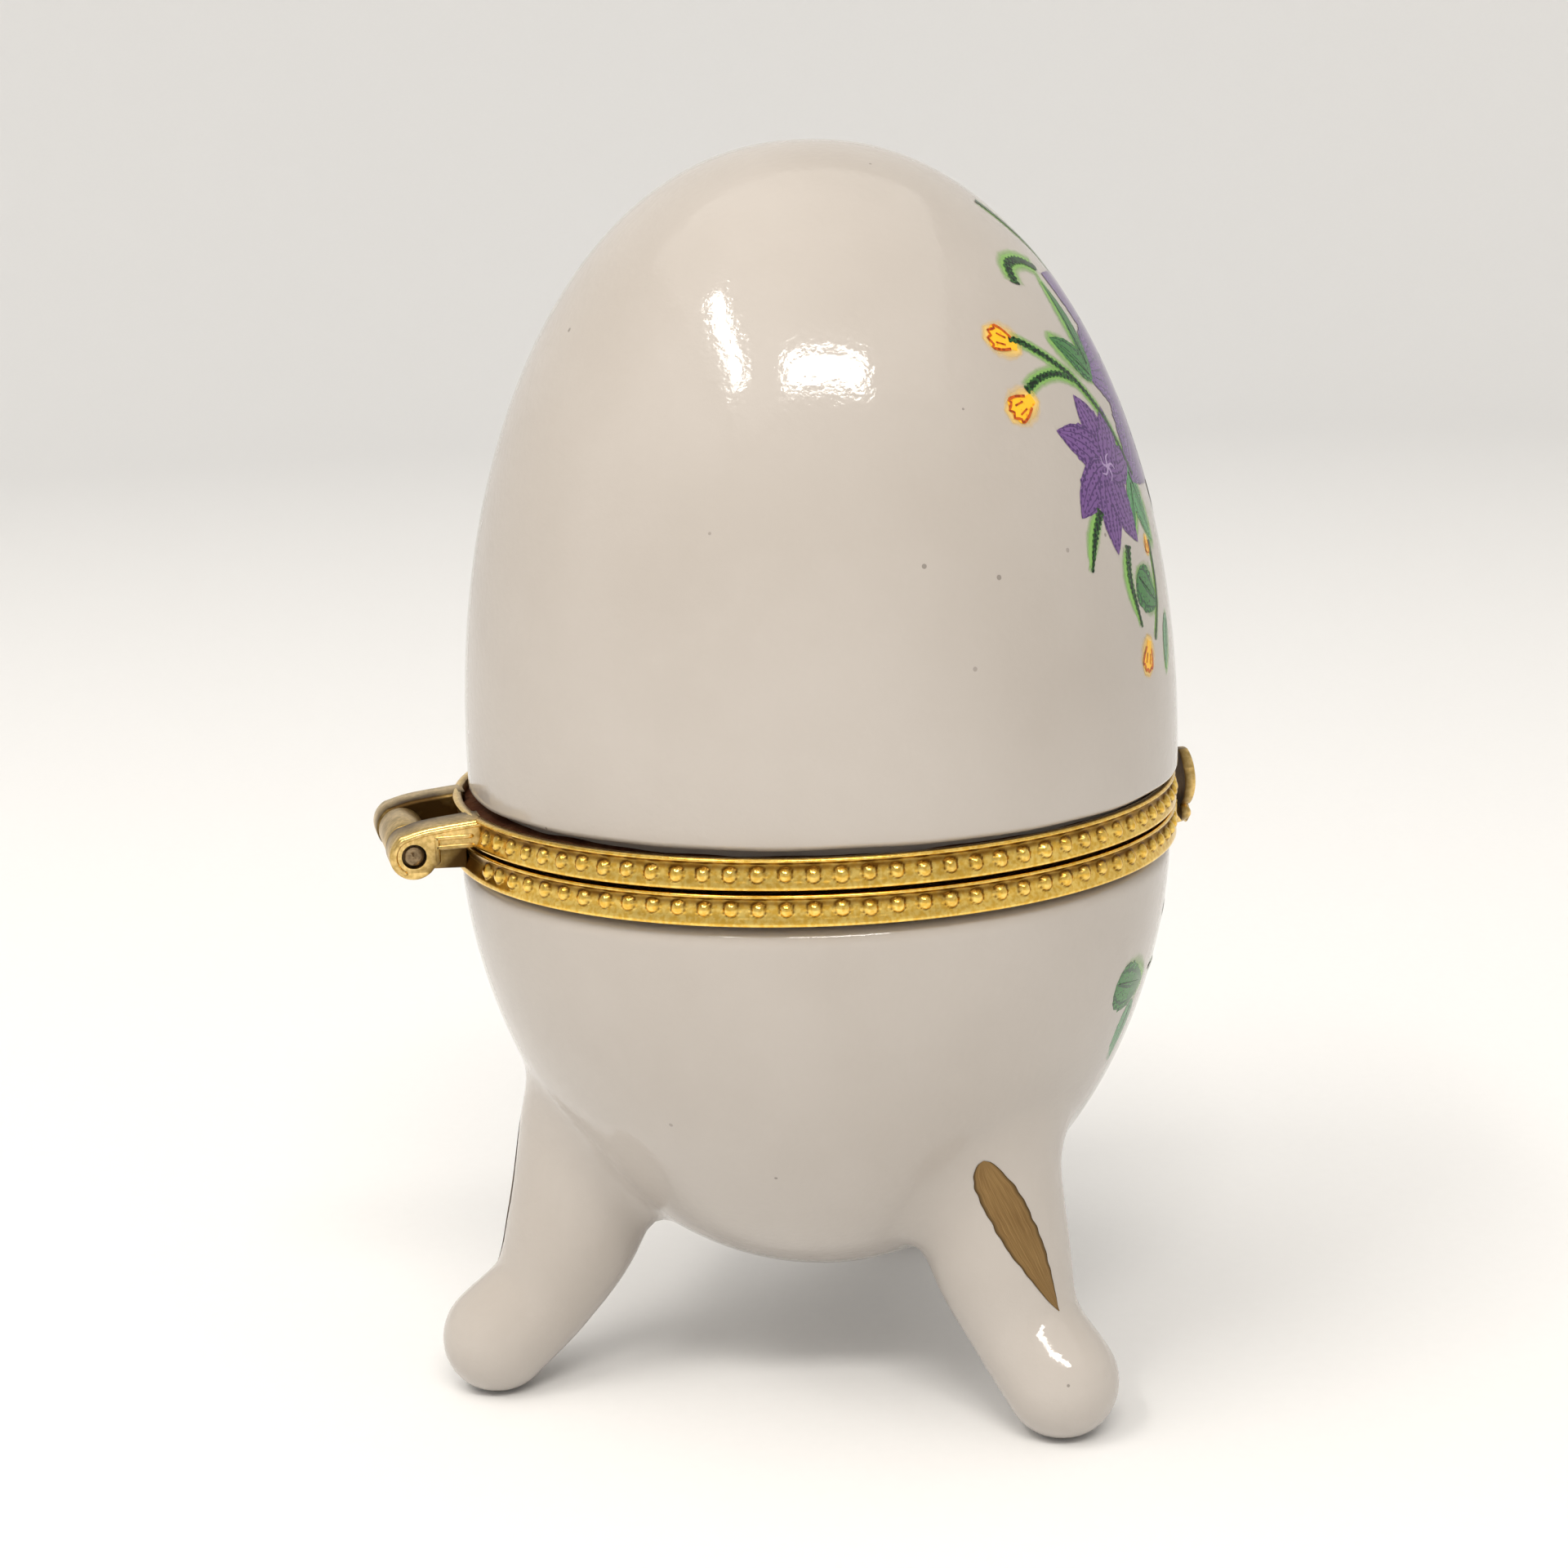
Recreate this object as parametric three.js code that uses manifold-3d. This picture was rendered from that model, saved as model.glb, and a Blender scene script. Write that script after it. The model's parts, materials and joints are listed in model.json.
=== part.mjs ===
// Footed porcelain egg box: a hinged lid and a bowl on three legs, each edged with a beaded brass bezel.
// Millimetres, +Z up. The box rests on z = 0. The hinge is at +Y, the clasp at -Y, and the part is centred
// on its bounding box, so the egg's own axis stands a little in front of the origin.
import * as THREE from "three";
import { mergeVertices } from "three/addons/utils/BufferGeometryUtils.js";
import Module from "manifold-3d";

const wasm = await Module();
wasm.setup();

// ---- driving dimensions -------------------------------------------------------------------------------

const SHELL_FACETS = 60; // round the porcelain
const BEAD_PITCH_DEG = 4; // the bezels have one facet to each bead

const SEAM_HEIGHT = 47.8; // from the floor to the parting line between the two bezels
const SEAM_GAP = 0.3; // daylight between the closed bezels

// Bezels. Each is an L in section: a beaded wall outside and a flange that lies on the porcelain's rim.
const BEZEL_RADIUS = 29.5;
const BEZEL_SWELL = 0.2; // how far the wall bulges behind the beads
const BEZEL_WALL = 0.6;
const FLANGE_REACH = 3.6; // from the bezel's outer face to the flange's inner edge
const FLANGE_THICKNESS = 0.8;
const LID_BEZEL_HEIGHT = 2.55; // above the parting line
const BASE_BEZEL_HEIGHT = 2.6; // below the parting line
const EDGE_ROUND = 0.25;

const BEAD_RADIUS = 0.62;
const BEAD_RISE = 0.42;
const LID_BEAD_HEIGHT = 1.3; // above the parting line
const BASE_BEAD_DROP = 1.3; // below the parting line
const BEAD_FREE_HINGE_DEG = 14;
const BEAD_FREE_CLASP_DEG = 5;

// Porcelain. Both shells are superellipse domes with a reduced neck that stands inside the bezel.
const LID_INSET = 0.4; // widest level of the lid, inside the bezel's outer face
const LID_WIDEST = 5.4; // above the parting line
const LID_RISE = 48.1; // from the widest level to the top
const LID_RADIUS_POWER = 2.14;
const LID_HEIGHT_POWER = 2.07;
const LID_SHOULDER = 3.0; // underside of the shoulder, above the parting line
const LID_SHIFT = 0.8; // the lid is cemented this far towards the clasp

const BOWL_INSET = 0.2; // widest level of the bowl, inside the bezel's outer face
const BOWL_WIDEST_DROP = 1.8; // below the parting line
const BOWL_DEPTH = 37.1; // from the widest level to the bottom
const BOWL_RADIUS_POWER = 2.0;
const BOWL_HEIGHT_POWER = 1.88;
const BOWL_SHOULDER_GAP = 0.2; // between the bezel's lower edge and the bowl's shoulder

const PORCELAIN_WALL = 3.2;
const NECK_CLEARANCE = 1.1; // between the neck and the bezel's wall
const SHOULDER_ROUND = 0.9;

// Cement that holds each shell in its bezel.
const CEMENT_BED = 0.3;
const CEMENT_RISE = 0.95; // how far the cement climbs the neck, above the flange
const BOND_GAP = 0.1; // kept between bonded faces
const CUT_ALLOWANCE = 0.01; // by which a cutting outline passes the faces that it ends with

// Legs: bent round bars with kicked-out feet, at these angles from +X. Splay scales how far out a leg stands.
const LEGS = [
  { angleDeg: 90, splay: 1.02 }, // the back leg stands a little further out
  { angleDeg: 210, splay: 0.935 },
  { angleDeg: 330, splay: 0.935 },
];
const LEG_FACETS = 14;
const LEG_ROOT = { out: 19.2, up: 21.9, radius: 6.3 }; // inside the bowl's wall
const LEG_KNEE = { out: 21.1, up: 14.2, radius: 5.8 };
const LEG_ANKLE = { out: 24.0, up: 8.3, radius: 4.6 };
const LEG_TOE = { out: 28.2, up: 4.35, radius: 4.6 };

// Hinge: the lid bezel carries a fork, the base bezel a single knuckle, and a pin runs through both.
const HINGE_REACH = 4.3; // from the bezel's outer face to the pin
const HINGE_WIDTH = 13.8;
const KNUCKLE_WIDTH = 6.4;
const HINGE_SIDE_GAP = 0.3;
const EYE_RADIUS = 1.9; // of the fork's eyes
const KNUCKLE_RADIUS = 1.8;
const PIN_RADIUS = 0.6;
const PIN_CLEARANCE = 0.08;
const PIN_END_RECESS = 0.15; // the pin's peened ends lie this far inside the fork's faces
const HEEL = 2.05; // flat heel of each eye, facing the bezel
const ARM_CLEARANCE = 0.35; // between a hinge arm and the parting line

// Clasp: a springy plate riveted to a lug on the base bezel; its free lobe snaps over a stud on the lid bezel.
const LUG_REACH = 1.9; // from the bezel's outer face
const LUG_WIDTH = 3.2;
const LUG_TOP = 1.9; // below the parting line
const LUG_BOTTOM = 4.1;
const CLASP_GAP = 0.35; // between the lug and the plate
const CLASP_THICKNESS = 1.1; // at the lobe
const CLASP_WIDTH = 4.6;
const CLASP_TOP = 2.0; // above the parting line
const CLASP_WAIST_DROP = 2.6; // below the parting line
const CLASP_WAIST_WIDTH = 1.8;
const CLASP_WAIST_THICKNESS = 0.5;
const CLASP_FOOT_DROP = 4.4; // bottom of the riveted foot, below the parting line
const CLASP_FOOT_WIDTH = 2.9;
const CLASP_FOOT_THICKNESS = 0.6;
const RIVET_RADIUS = 0.4;
const RIVET_CLEARANCE = 0.12;
const RIVET_LENGTH = 2.0; // shank
const RIVET_HEAD_RADIUS = 0.75;
const RIVET_HEAD_RISE = 0.3;
const RIVET_SEAT = 0.12; // under the head, so that the plate can flex
const STUD_RADIUS = 0.75;
const STUD_SHANK_RADIUS = 0.45;
const STUD_GAP = 0.35; // between the stud and the plate
const STUD_HEIGHT = 1.2; // above the parting line

// ---- derived places -----------------------------------------------------------------------------------

const lidFace = SEAM_HEIGHT + SEAM_GAP / 2;
const baseFace = SEAM_HEIGHT - SEAM_GAP / 2;
const bezelBore = BEZEL_RADIUS - BEZEL_WALL;
const bandFace = (BEZEL_RADIUS + BEZEL_SWELL) * Math.cos(THREE.MathUtils.degToRad(BEAD_PITCH_DEG / 2));
const flangeEdge = BEZEL_RADIUS - FLANGE_REACH;
const lidFlangeTop = lidFace + FLANGE_THICKNESS;
const baseFlangeUnder = baseFace - FLANGE_THICKNESS;
const neckRadius = bezelBore - NECK_CLEARANCE;
const lidRadius = BEZEL_RADIUS - LID_INSET;
const bowlRadius = BEZEL_RADIUS - BOWL_INSET;
const lidRim = lidFlangeTop + CEMENT_BED + 2 * BOND_GAP;
const baseEdge = SEAM_HEIGHT - BASE_BEZEL_HEIGHT;
const baseRim = baseFlangeUnder - CEMENT_BED - 2 * BOND_GAP;
const bowlWidest = SEAM_HEIGHT - BOWL_WIDEST_DROP;
const bowlShoulder = SEAM_HEIGHT - BASE_BEZEL_HEIGHT - BOWL_SHOULDER_GAP;
const lidWidest = SEAM_HEIGHT + LID_WIDEST;
const pinY = BEZEL_RADIUS + HINGE_REACH;
const pinHoleRadius = PIN_RADIUS + PIN_CLEARANCE;
const armWidth = (HINGE_WIDTH - KNUCKLE_WIDTH) / 2 - HINGE_SIDE_GAP;
const lugFace = BEZEL_RADIUS + LUG_REACH; // in front of the axis, like the three below
const claspInside = lugFace + CLASP_GAP;
const rivetSeat = claspInside + CLASP_FOOT_THICKNESS + RIVET_SEAT;
const frontReach = claspInside + CLASP_THICKNESS;
const waistHeight = SEAM_HEIGHT - CLASP_WAIST_DROP;
const footBottom = SEAM_HEIGHT - CLASP_FOOT_DROP;
const rivetHeight = (waistHeight + footBottom) / 2;
const studHeight = SEAM_HEIGHT + STUD_HEIGHT;
const studReach = LUG_REACH + CLASP_GAP - STUD_GAP; // from the bezel's outer face
const backReach = pinY + EYE_RADIUS;

// ---- helpers ------------------------------------------------------------------------------------------

/** A closed three.js geometry as a manifold solid. */
function solid(geometry) {
  geometry.deleteAttribute("normal");
  geometry.deleteAttribute("uv");
  const merged = mergeVertices(geometry, 1e-4);
  return new wasm.Manifold(
    new wasm.Mesh({
      numProp: 3,
      vertProperties: merged.attributes.position.array,
      triVerts: new Uint32Array(merged.index.array),
    }),
  );
}

/** A manifold solid as a named three.js mesh. */
function piece(name, body, material) {
  const mesh = body.getMesh();
  const geometry = new THREE.BufferGeometry()
    .setAttribute("position", new THREE.BufferAttribute(mesh.vertProperties, 3))
    .setIndex(new THREE.BufferAttribute(mesh.triVerts, 1));
  geometry.computeVertexNormals();
  const made = new THREE.Mesh(geometry, material);
  made.name = name;
  return made;
}

/** Turns a profile of [radius, height] points, outer side rising, about the Z axis. */
function turned(profile, facets = SHELL_FACETS) {
  const points = profile.map(([r, z]) => new THREE.Vector2(r, z));
  return solid(new THREE.LatheGeometry(points, facets).rotateX(Math.PI / 2));
}

/** Extrudes a side view (shape x along Y, shape y along Z) symmetrically across X. */
function sideExtrusion(shape, width) {
  const toRow = new THREE.Matrix4().makeBasis(
    new THREE.Vector3(0, 1, 0),
    new THREE.Vector3(0, 0, 1),
    new THREE.Vector3(1, 0, 0),
  );
  const geometry = new THREE.ExtrudeGeometry(shape, { depth: width, bevelEnabled: false, curveSegments: 8 });
  return solid(geometry.translate(0, 0, -width / 2).applyMatrix4(toRow));
}

/** A bar along X, centred on x. */
function barAlongX(radius, length, y, z, segments = 20) {
  const geometry = new THREE.CylinderGeometry(radius, radius, length, segments).rotateZ(Math.PI / 2);
  return solid(geometry.translate(0, y, z));
}

/** A bar along Y between two places. */
function barAlongY(radius, from, to, z, segments = 16) {
  const geometry = new THREE.CylinderGeometry(radius, radius, Math.abs(to - from), segments);
  return solid(geometry.translate(0, (from + to) / 2, z));
}

/** Points of a superellipse quarter, from the widest level to the pole; rise is negative for a bowl. */
function dome(radius, rise, widest, radiusPower, heightPower, steps) {
  const points = [];
  for (let i = 0; i <= steps; i++) {
    const level = Math.sin((i / steps) * (Math.PI / 2));
    const r = i === steps ? 0 : radius * (1 - level ** heightPower) ** (1 / radiusPower);
    points.push([r, widest + rise * level]);
  }
  return points;
}

/** Angles of the beads round one bezel, leaving the hinge and the clasp clear. */
function beadAngles() {
  const angles = [];
  for (let deg = BEAD_PITCH_DEG / 2; deg < 360; deg += BEAD_PITCH_DEG) {
    const fromHinge = Math.abs(deg - 90);
    const fromClasp = Math.abs(deg - 270);
    if (fromHinge > BEAD_FREE_HINGE_DEG && fromClasp > BEAD_FREE_CLASP_DEG) angles.push(deg);
  }
  return angles;
}

/** A row of small domes on a bezel's wall, at one height. */
function beadRow(height) {
  const surface = bandFace - 0.1;
  const profile = [
    [0, -0.2],
    [BEAD_RADIUS, 0],
    [0, BEAD_RISE + 0.1],
  ];
  return beadAngles().map((deg) => {
    const points = profile.map(([r, out]) => new THREE.Vector2(r, out));
    const bead = new THREE.LatheGeometry(points, 6).rotateZ(-Math.PI / 2); // the dome faces +X
    bead.translate(surface, 0, height).rotateZ(THREE.MathUtils.degToRad(deg));
    return solid(bead);
  });
}

const join = (solids) => wasm.Manifold.union(solids);

// ---- porcelain ----------------------------------------------------------------------------------------

/** The lid's dome, open below, in its own frame before it is shifted towards the clasp. */
function lidShell() {
  const outer = dome(lidRadius, LID_RISE, lidWidest, LID_RADIUS_POWER, LID_HEIGHT_POWER, 13);
  const inner = dome(
    lidRadius - PORCELAIN_WALL,
    LID_RISE - PORCELAIN_WALL,
    lidWidest,
    LID_RADIUS_POWER,
    LID_HEIGHT_POWER,
    12,
  );
  const shoulder = SEAM_HEIGHT + LID_SHOULDER;
  const rim = [
    [lidRadius - PORCELAIN_WALL, lidRim],
    [neckRadius, lidRim],
    [neckRadius, shoulder],
    [lidRadius - SHOULDER_ROUND, shoulder],
    [lidRadius - 0.3 * SHOULDER_ROUND, shoulder + 0.3 * SHOULDER_ROUND],
    [lidRadius, shoulder + SHOULDER_ROUND],
  ];
  return turned([...inner.reverse(), ...rim, ...outer]).translate([0, -LID_SHIFT, 0]);
}

/** One leg: a capsule drawn out along a bent centre line that leaves the axis at angleDeg. */
function leg({ angleDeg, splay }) {
  const stations = [LEG_ROOT, LEG_KNEE, LEG_ANKLE, LEG_TOE];
  const places = stations.map(({ out, up }) => new THREE.Vector3(splay * out, 0, up));
  const centreLine = new THREE.CatmullRomCurve3(places);
  const girth = new THREE.SplineCurve(stations.map(({ radius }, i) => new THREE.Vector2(i, radius)));
  const across = new THREE.Vector3(0, 1, 0);
  const geometry = new THREE.CapsuleGeometry(1, 1, 4, LEG_FACETS, 8);
  const position = geometry.attributes.position;
  for (let i = 0; i < position.count; i++) {
    const [x, y, z] = [position.getX(i), position.getY(i), position.getZ(i)];
    const along = THREE.MathUtils.clamp(0.5 - y, 0, 1); // 0 at the root, 1 at the toe
    const pastEnd = 0.5 - y - along;
    const radius = girth.getPoint(along).y;
    const ahead = centreLine.getTangent(along);
    const side = new THREE.Vector3().crossVectors(across, ahead);
    const at = centreLine.getPoint(along).addScaledVector(ahead, pastEnd * radius);
    at.addScaledVector(side, x * radius).addScaledVector(across, z * radius);
    position.setXYZ(i, at.x, at.y, at.z);
  }
  return solid(geometry.rotateZ(THREE.MathUtils.degToRad(angleDeg)));
}

/** The bowl with its three legs, all one casting, with the legs cut flat where they stand. */
function baseShell() {
  const outside = dome(bowlRadius, -BOWL_DEPTH, bowlWidest, BOWL_RADIUS_POWER, BOWL_HEIGHT_POWER, 14);
  const inside = dome(
    bowlRadius - PORCELAIN_WALL,
    PORCELAIN_WALL - BOWL_DEPTH,
    bowlWidest,
    BOWL_RADIUS_POWER,
    BOWL_HEIGHT_POWER,
    12,
  );
  const below = outside.filter(([, z]) => z < bowlShoulder - SHOULDER_ROUND).reverse();
  const neck = [
    [bowlRadius - 0.05, bowlShoulder - SHOULDER_ROUND],
    [bowlRadius - 0.3 * SHOULDER_ROUND, bowlShoulder - 0.3 * SHOULDER_ROUND],
    [bowlRadius - SHOULDER_ROUND, bowlShoulder],
    [neckRadius, bowlShoulder],
    [neckRadius, baseRim],
    [0, baseRim],
  ];
  const cavity = turned([
    ...inside.slice(1).reverse(),
    [bowlRadius - PORCELAIN_WALL, bowlWidest],
    [bowlRadius - PORCELAIN_WALL, SEAM_HEIGHT],
    [0, SEAM_HEIGHT],
  ]);
  const floor = solid(new THREE.BoxGeometry(200, 200, 40).translate(0, 0, -20));
  return join([turned([...below, ...neck]), ...LEGS.map(leg)]).subtract(cavity).subtract(floor);
}

// ---- bezels -------------------------------------------------------------------------------------------

/** A bezel's ring: up is +1 for the lid's and -1 for the base's, whose section is the same turned over. */
function bezelRing(face, height, up) {
  const edge = SEAM_HEIGHT + up * height;
  const outside = BEZEL_RADIUS + BEZEL_SWELL;
  const section = [
    [flangeEdge, face],
    [BEZEL_RADIUS, face],
    [outside, face + up * EDGE_ROUND],
    [outside, edge - up * EDGE_ROUND],
    [outside - EDGE_ROUND, edge],
    [bezelBore, edge],
    [bezelBore, face + up * FLANGE_THICKNESS],
    [flangeEdge, face + up * FLANGE_THICKNESS],
    [flangeEdge, face],
  ];
  return turned(up > 0 ? section : section.reverse(), 360 / BEAD_PITCH_DEG);
}

/** Side view of one fork arm: an eye round the pin, a flat heel, and an arm that rises to the lid bezel. */
function armSide() {
  const root = bezelBore + 0.1;
  const under = SEAM_HEIGHT + ARM_CLEARANCE;
  const top = SEAM_HEIGHT + LID_BEZEL_HEIGHT - EDGE_ROUND;
  const shape = new THREE.Shape();
  shape.moveTo(root, under);
  shape.lineTo(pinY - HEEL, under);
  shape.lineTo(pinY - HEEL, SEAM_HEIGHT - EYE_RADIUS / 2);
  shape.absarc(pinY, SEAM_HEIGHT, EYE_RADIUS, THREE.MathUtils.degToRad(210), THREE.MathUtils.degToRad(440), false);
  shape.quadraticCurveTo(pinY - EYE_RADIUS, top - 0.1, root, top);
  return shape;
}

/** Side view of the base bezel's knuckle and the arm that carries it. */
function knuckleSide() {
  const root = bezelBore + 0.1;
  const top = SEAM_HEIGHT - ARM_CLEARANCE;
  const bottom = SEAM_HEIGHT - BASE_BEZEL_HEIGHT + 0.6;
  const shape = new THREE.Shape();
  shape.moveTo(root, bottom);
  shape.quadraticCurveTo(pinY - KNUCKLE_RADIUS, bottom + 0.3, pinY, SEAM_HEIGHT - KNUCKLE_RADIUS);
  shape.absarc(pinY, SEAM_HEIGHT, KNUCKLE_RADIUS, -Math.PI / 2, Math.PI - 0.2, false);
  shape.lineTo(root, top);
  shape.closePath();
  return shape;
}

/** Side view of the lug that carries the clasp plate; it slopes down from the base bezel's wall. */
function lugSide() {
  const root = -(bezelBore + 0.1);
  const top = SEAM_HEIGHT - LUG_TOP;
  const shape = new THREE.Shape();
  shape.moveTo(root, top);
  shape.lineTo(root, baseEdge + EDGE_ROUND);
  shape.lineTo(-(bowlRadius + CLASP_GAP), baseEdge + EDGE_ROUND);
  shape.lineTo(-lugFace, SEAM_HEIGHT - LUG_BOTTOM);
  shape.lineTo(-lugFace, top - 2 * EDGE_ROUND);
  shape.quadraticCurveTo(-lugFace, top, -lugFace + 2 * EDGE_ROUND, top);
  shape.closePath();
  return shape;
}

/** The lid's bezel with its beads and hinge fork, drilled for the catch stud. */
function lidBezel() {
  const arm = sideExtrusion(armSide(), armWidth);
  const armX = (KNUCKLE_WIDTH + armWidth) / 2 + HINGE_SIDE_GAP;
  const pinHole = barAlongX(pinHoleRadius, HINGE_WIDTH + 2, pinY, SEAM_HEIGHT);
  const studHole = barAlongY(STUD_SHANK_RADIUS + BOND_GAP, -(BEZEL_RADIUS + 1), -(bezelBore - 0.2), studHeight);
  return join([
    bezelRing(lidFace, LID_BEZEL_HEIGHT, 1),
    arm.translate([armX, 0, 0]),
    arm.translate([-armX, 0, 0]),
    ...beadRow(SEAM_HEIGHT + LID_BEAD_HEIGHT),
  ])
    .subtract(pinHole)
    .subtract(studHole);
}

/** The base's bezel with its beads, hinge knuckle and clasp lug, drilled for the clasp's rivet. */
function baseBezel() {
  const pinHole = barAlongX(pinHoleRadius, KNUCKLE_WIDTH + 2, pinY, SEAM_HEIGHT);
  const holeEnd = rivetSeat - RIVET_LENGTH - RIVET_CLEARANCE;
  const rivetHole = barAlongY(RIVET_RADIUS + RIVET_CLEARANCE, -(lugFace + 1), -holeEnd, rivetHeight);
  return join([
    bezelRing(baseFace, BASE_BEZEL_HEIGHT, -1),
    sideExtrusion(knuckleSide(), KNUCKLE_WIDTH),
    sideExtrusion(lugSide(), LUG_WIDTH),
    ...beadRow(SEAM_HEIGHT - BASE_BEAD_DROP),
  ])
    .subtract(pinHole)
    .subtract(rivetHole);
}

// ---- cement -------------------------------------------------------------------------------------------

/** A cement ring between a flange and a porcelain neck that stands neckShift in front of the bezel's axis. */
function cement(flangeFace, up, neckShift) {
  const low = flangeFace + up * BOND_GAP;
  const bed = low + up * CEMENT_BED;
  const high = low + up * CEMENT_RISE;
  const section = [
    [flangeEdge + 2 * BOND_GAP, low],
    [bezelBore - BOND_GAP, low],
    [bezelBore - BOND_GAP, high],
    [flangeEdge + 2 * BOND_GAP, high],
    [flangeEdge + 2 * BOND_GAP, low],
  ];
  const ring = turned(up > 0 ? section : section.reverse());
  const height = 2 * CEMENT_RISE;
  const neck = new THREE.CylinderGeometry(neckRadius + BOND_GAP, neckRadius + BOND_GAP, height, SHELL_FACETS);
  neck.rotateX(Math.PI / 2).translate(0, -neckShift, bed + (up * height) / 2);
  return ring.subtract(solid(neck));
}

// ---- small parts --------------------------------------------------------------------------------------

/** The hinge pin. */
function hingePin() {
  return barAlongX(PIN_RADIUS, HINGE_WIDTH - 2 * PIN_END_RECESS, pinY, SEAM_HEIGHT);
}

/** Side view of the clasp plate: a convex lobe, a thin waist that lets it flex, and a riveted foot. */
function claspSide() {
  const out = (thickness) => -(claspInside + thickness);
  const top = SEAM_HEIGHT + CLASP_TOP;
  const shape = new THREE.Shape();
  shape.moveTo(out(0), top);
  shape.lineTo(out(0.4 * CLASP_THICKNESS), top);
  shape.quadraticCurveTo(out(CLASP_THICKNESS), top, out(CLASP_THICKNESS), top - 0.25 * (top - waistHeight));
  shape.bezierCurveTo(
    out(CLASP_THICKNESS),
    waistHeight + 0.25 * (top - waistHeight),
    out(CLASP_WAIST_THICKNESS),
    waistHeight + 0.1 * (top - waistHeight),
    out(CLASP_WAIST_THICKNESS),
    waistHeight,
  );
  shape.quadraticCurveTo(out(CLASP_FOOT_THICKNESS), waistHeight, out(CLASP_FOOT_THICKNESS), rivetHeight);
  shape.quadraticCurveTo(out(CLASP_FOOT_THICKNESS), footBottom, out(0.3 * CLASP_FOOT_THICKNESS), footBottom);
  shape.lineTo(out(0), footBottom);
  shape.closePath();
  return shape;
}

/** Front view of the clasp plate: an oval lobe over a smaller round foot. */
function claspFront() {
  const lobe = CLASP_WIDTH / 2;
  const waist = CLASP_WAIST_WIDTH / 2;
  const foot = CLASP_FOOT_WIDTH / 2;
  const top = SEAM_HEIGHT + CLASP_TOP + CUT_ALLOWANCE;
  const bottom = footBottom - CUT_ALLOWANCE;
  const middle = (top + waistHeight) / 2;
  const shape = new THREE.Shape();
  shape.moveTo(-waist, waistHeight);
  shape.quadraticCurveTo(-lobe, waistHeight, -lobe, middle);
  shape.quadraticCurveTo(-lobe, top, 0, top);
  shape.quadraticCurveTo(lobe, top, lobe, middle);
  shape.quadraticCurveTo(lobe, waistHeight, waist, waistHeight);
  shape.quadraticCurveTo(foot, waistHeight, foot, rivetHeight);
  shape.quadraticCurveTo(foot, bottom, 0, bottom);
  shape.quadraticCurveTo(-foot, bottom, -foot, rivetHeight);
  shape.quadraticCurveTo(-foot, waistHeight, -waist, waistHeight);
  return shape;
}

/** The clasp plate, drilled for its rivet. */
function claspPlate() {
  const outline = new THREE.ExtrudeGeometry(claspFront(), {
    depth: CLASP_THICKNESS + 2,
    bevelEnabled: false,
    curveSegments: 6,
  });
  outline.rotateX(Math.PI / 2).translate(0, 1 - claspInside, 0);
  const hole = barAlongY(RIVET_RADIUS + RIVET_CLEARANCE, 1 - claspInside, -(frontReach + 1), rivetHeight);
  return sideExtrusion(claspSide(), CLASP_WIDTH + 1).intersect(solid(outline)).subtract(hole);
}

/** A headed peg along Y with its head to the front: profile is [radius, distance forward]. */
function peg(profile, y, z, facets) {
  const points = profile.map(([r, out]) => new THREE.Vector2(r, out));
  const geometry = new THREE.LatheGeometry(points, facets).rotateX(Math.PI);
  return solid(geometry.translate(0, y, z));
}

/** The rivet that holds the clasp plate's foot to the lug. */
function claspRivet() {
  const profile = [
    [0, -RIVET_LENGTH],
    [RIVET_RADIUS, -RIVET_LENGTH],
    [RIVET_RADIUS, 0],
    [RIVET_HEAD_RADIUS, 0],
    [0.75 * RIVET_HEAD_RADIUS, 0.65 * RIVET_HEAD_RISE],
    [0, RIVET_HEAD_RISE],
  ];
  return peg(profile, -rivetSeat, rivetHeight, 12);
}

/** The stud on the lid bezel that the clasp plate snaps over. */
function catchStud() {
  const neckEnd = BEZEL_SWELL + BOND_GAP;
  const profile = [
    [0, -BEZEL_WALL],
    [STUD_SHANK_RADIUS, -BEZEL_WALL],
    [STUD_SHANK_RADIUS, neckEnd],
    [STUD_RADIUS, neckEnd],
    [STUD_RADIUS, 0.7 * studReach],
    [0.55 * STUD_RADIUS, studReach],
    [0, studReach],
  ];
  return peg(profile, -BEZEL_RADIUS, studHeight, 12);
}

// ---- materials and assembly ---------------------------------------------------------------------------

const porcelain = new THREE.MeshStandardMaterial({ color: 0xe4dcd2, roughness: 0.12, metalness: 0 });
const brass = new THREE.MeshStandardMaterial({ color: 0xd4a63c, roughness: 0.28, metalness: 1 });
const darkBrass = new THREE.MeshStandardMaterial({ color: 0x9c8248, roughness: 0.4, metalness: 1 });
const glue = new THREE.MeshStandardMaterial({ color: 0x4a3420, roughness: 0.7, metalness: 0 });

const eggBox = new THREE.Group();
eggBox.position.y = (frontReach - backReach) / 2;
eggBox.add(
  piece("base_shell", baseShell(), porcelain),
  piece("base_cement", cement(baseFlangeUnder, -1, 0), glue),
  piece("base_bezel", baseBezel(), brass),
  piece("clasp_rivet", claspRivet(), brass),
  piece("clasp_plate", claspPlate(), brass),
  piece("lid_shell", lidShell(), porcelain),
  piece("lid_cement", cement(lidFlangeTop, 1, LID_SHIFT), glue),
  piece("lid_bezel", lidBezel(), brass),
  piece("catch_stud", catchStud(), brass),
  piece("hinge_pin", hingePin(), darkBrass),
);

export default eggBox;
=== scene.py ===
"""Looks of a footed porcelain egg box: glazed shells, beaded brass bezels, hinge, clasp and transfer flowers.

Lengths are millimetres in the code and turn into metres when a mesh is made. The clasp faces -Y and the
hinge +Y. Angles round the box are degrees from the clasp, growing towards -X.
"""

import json
import logging
import math
from dataclasses import dataclass, field, replace
from enum import Enum
from typing import Callable, Sequence

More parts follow.
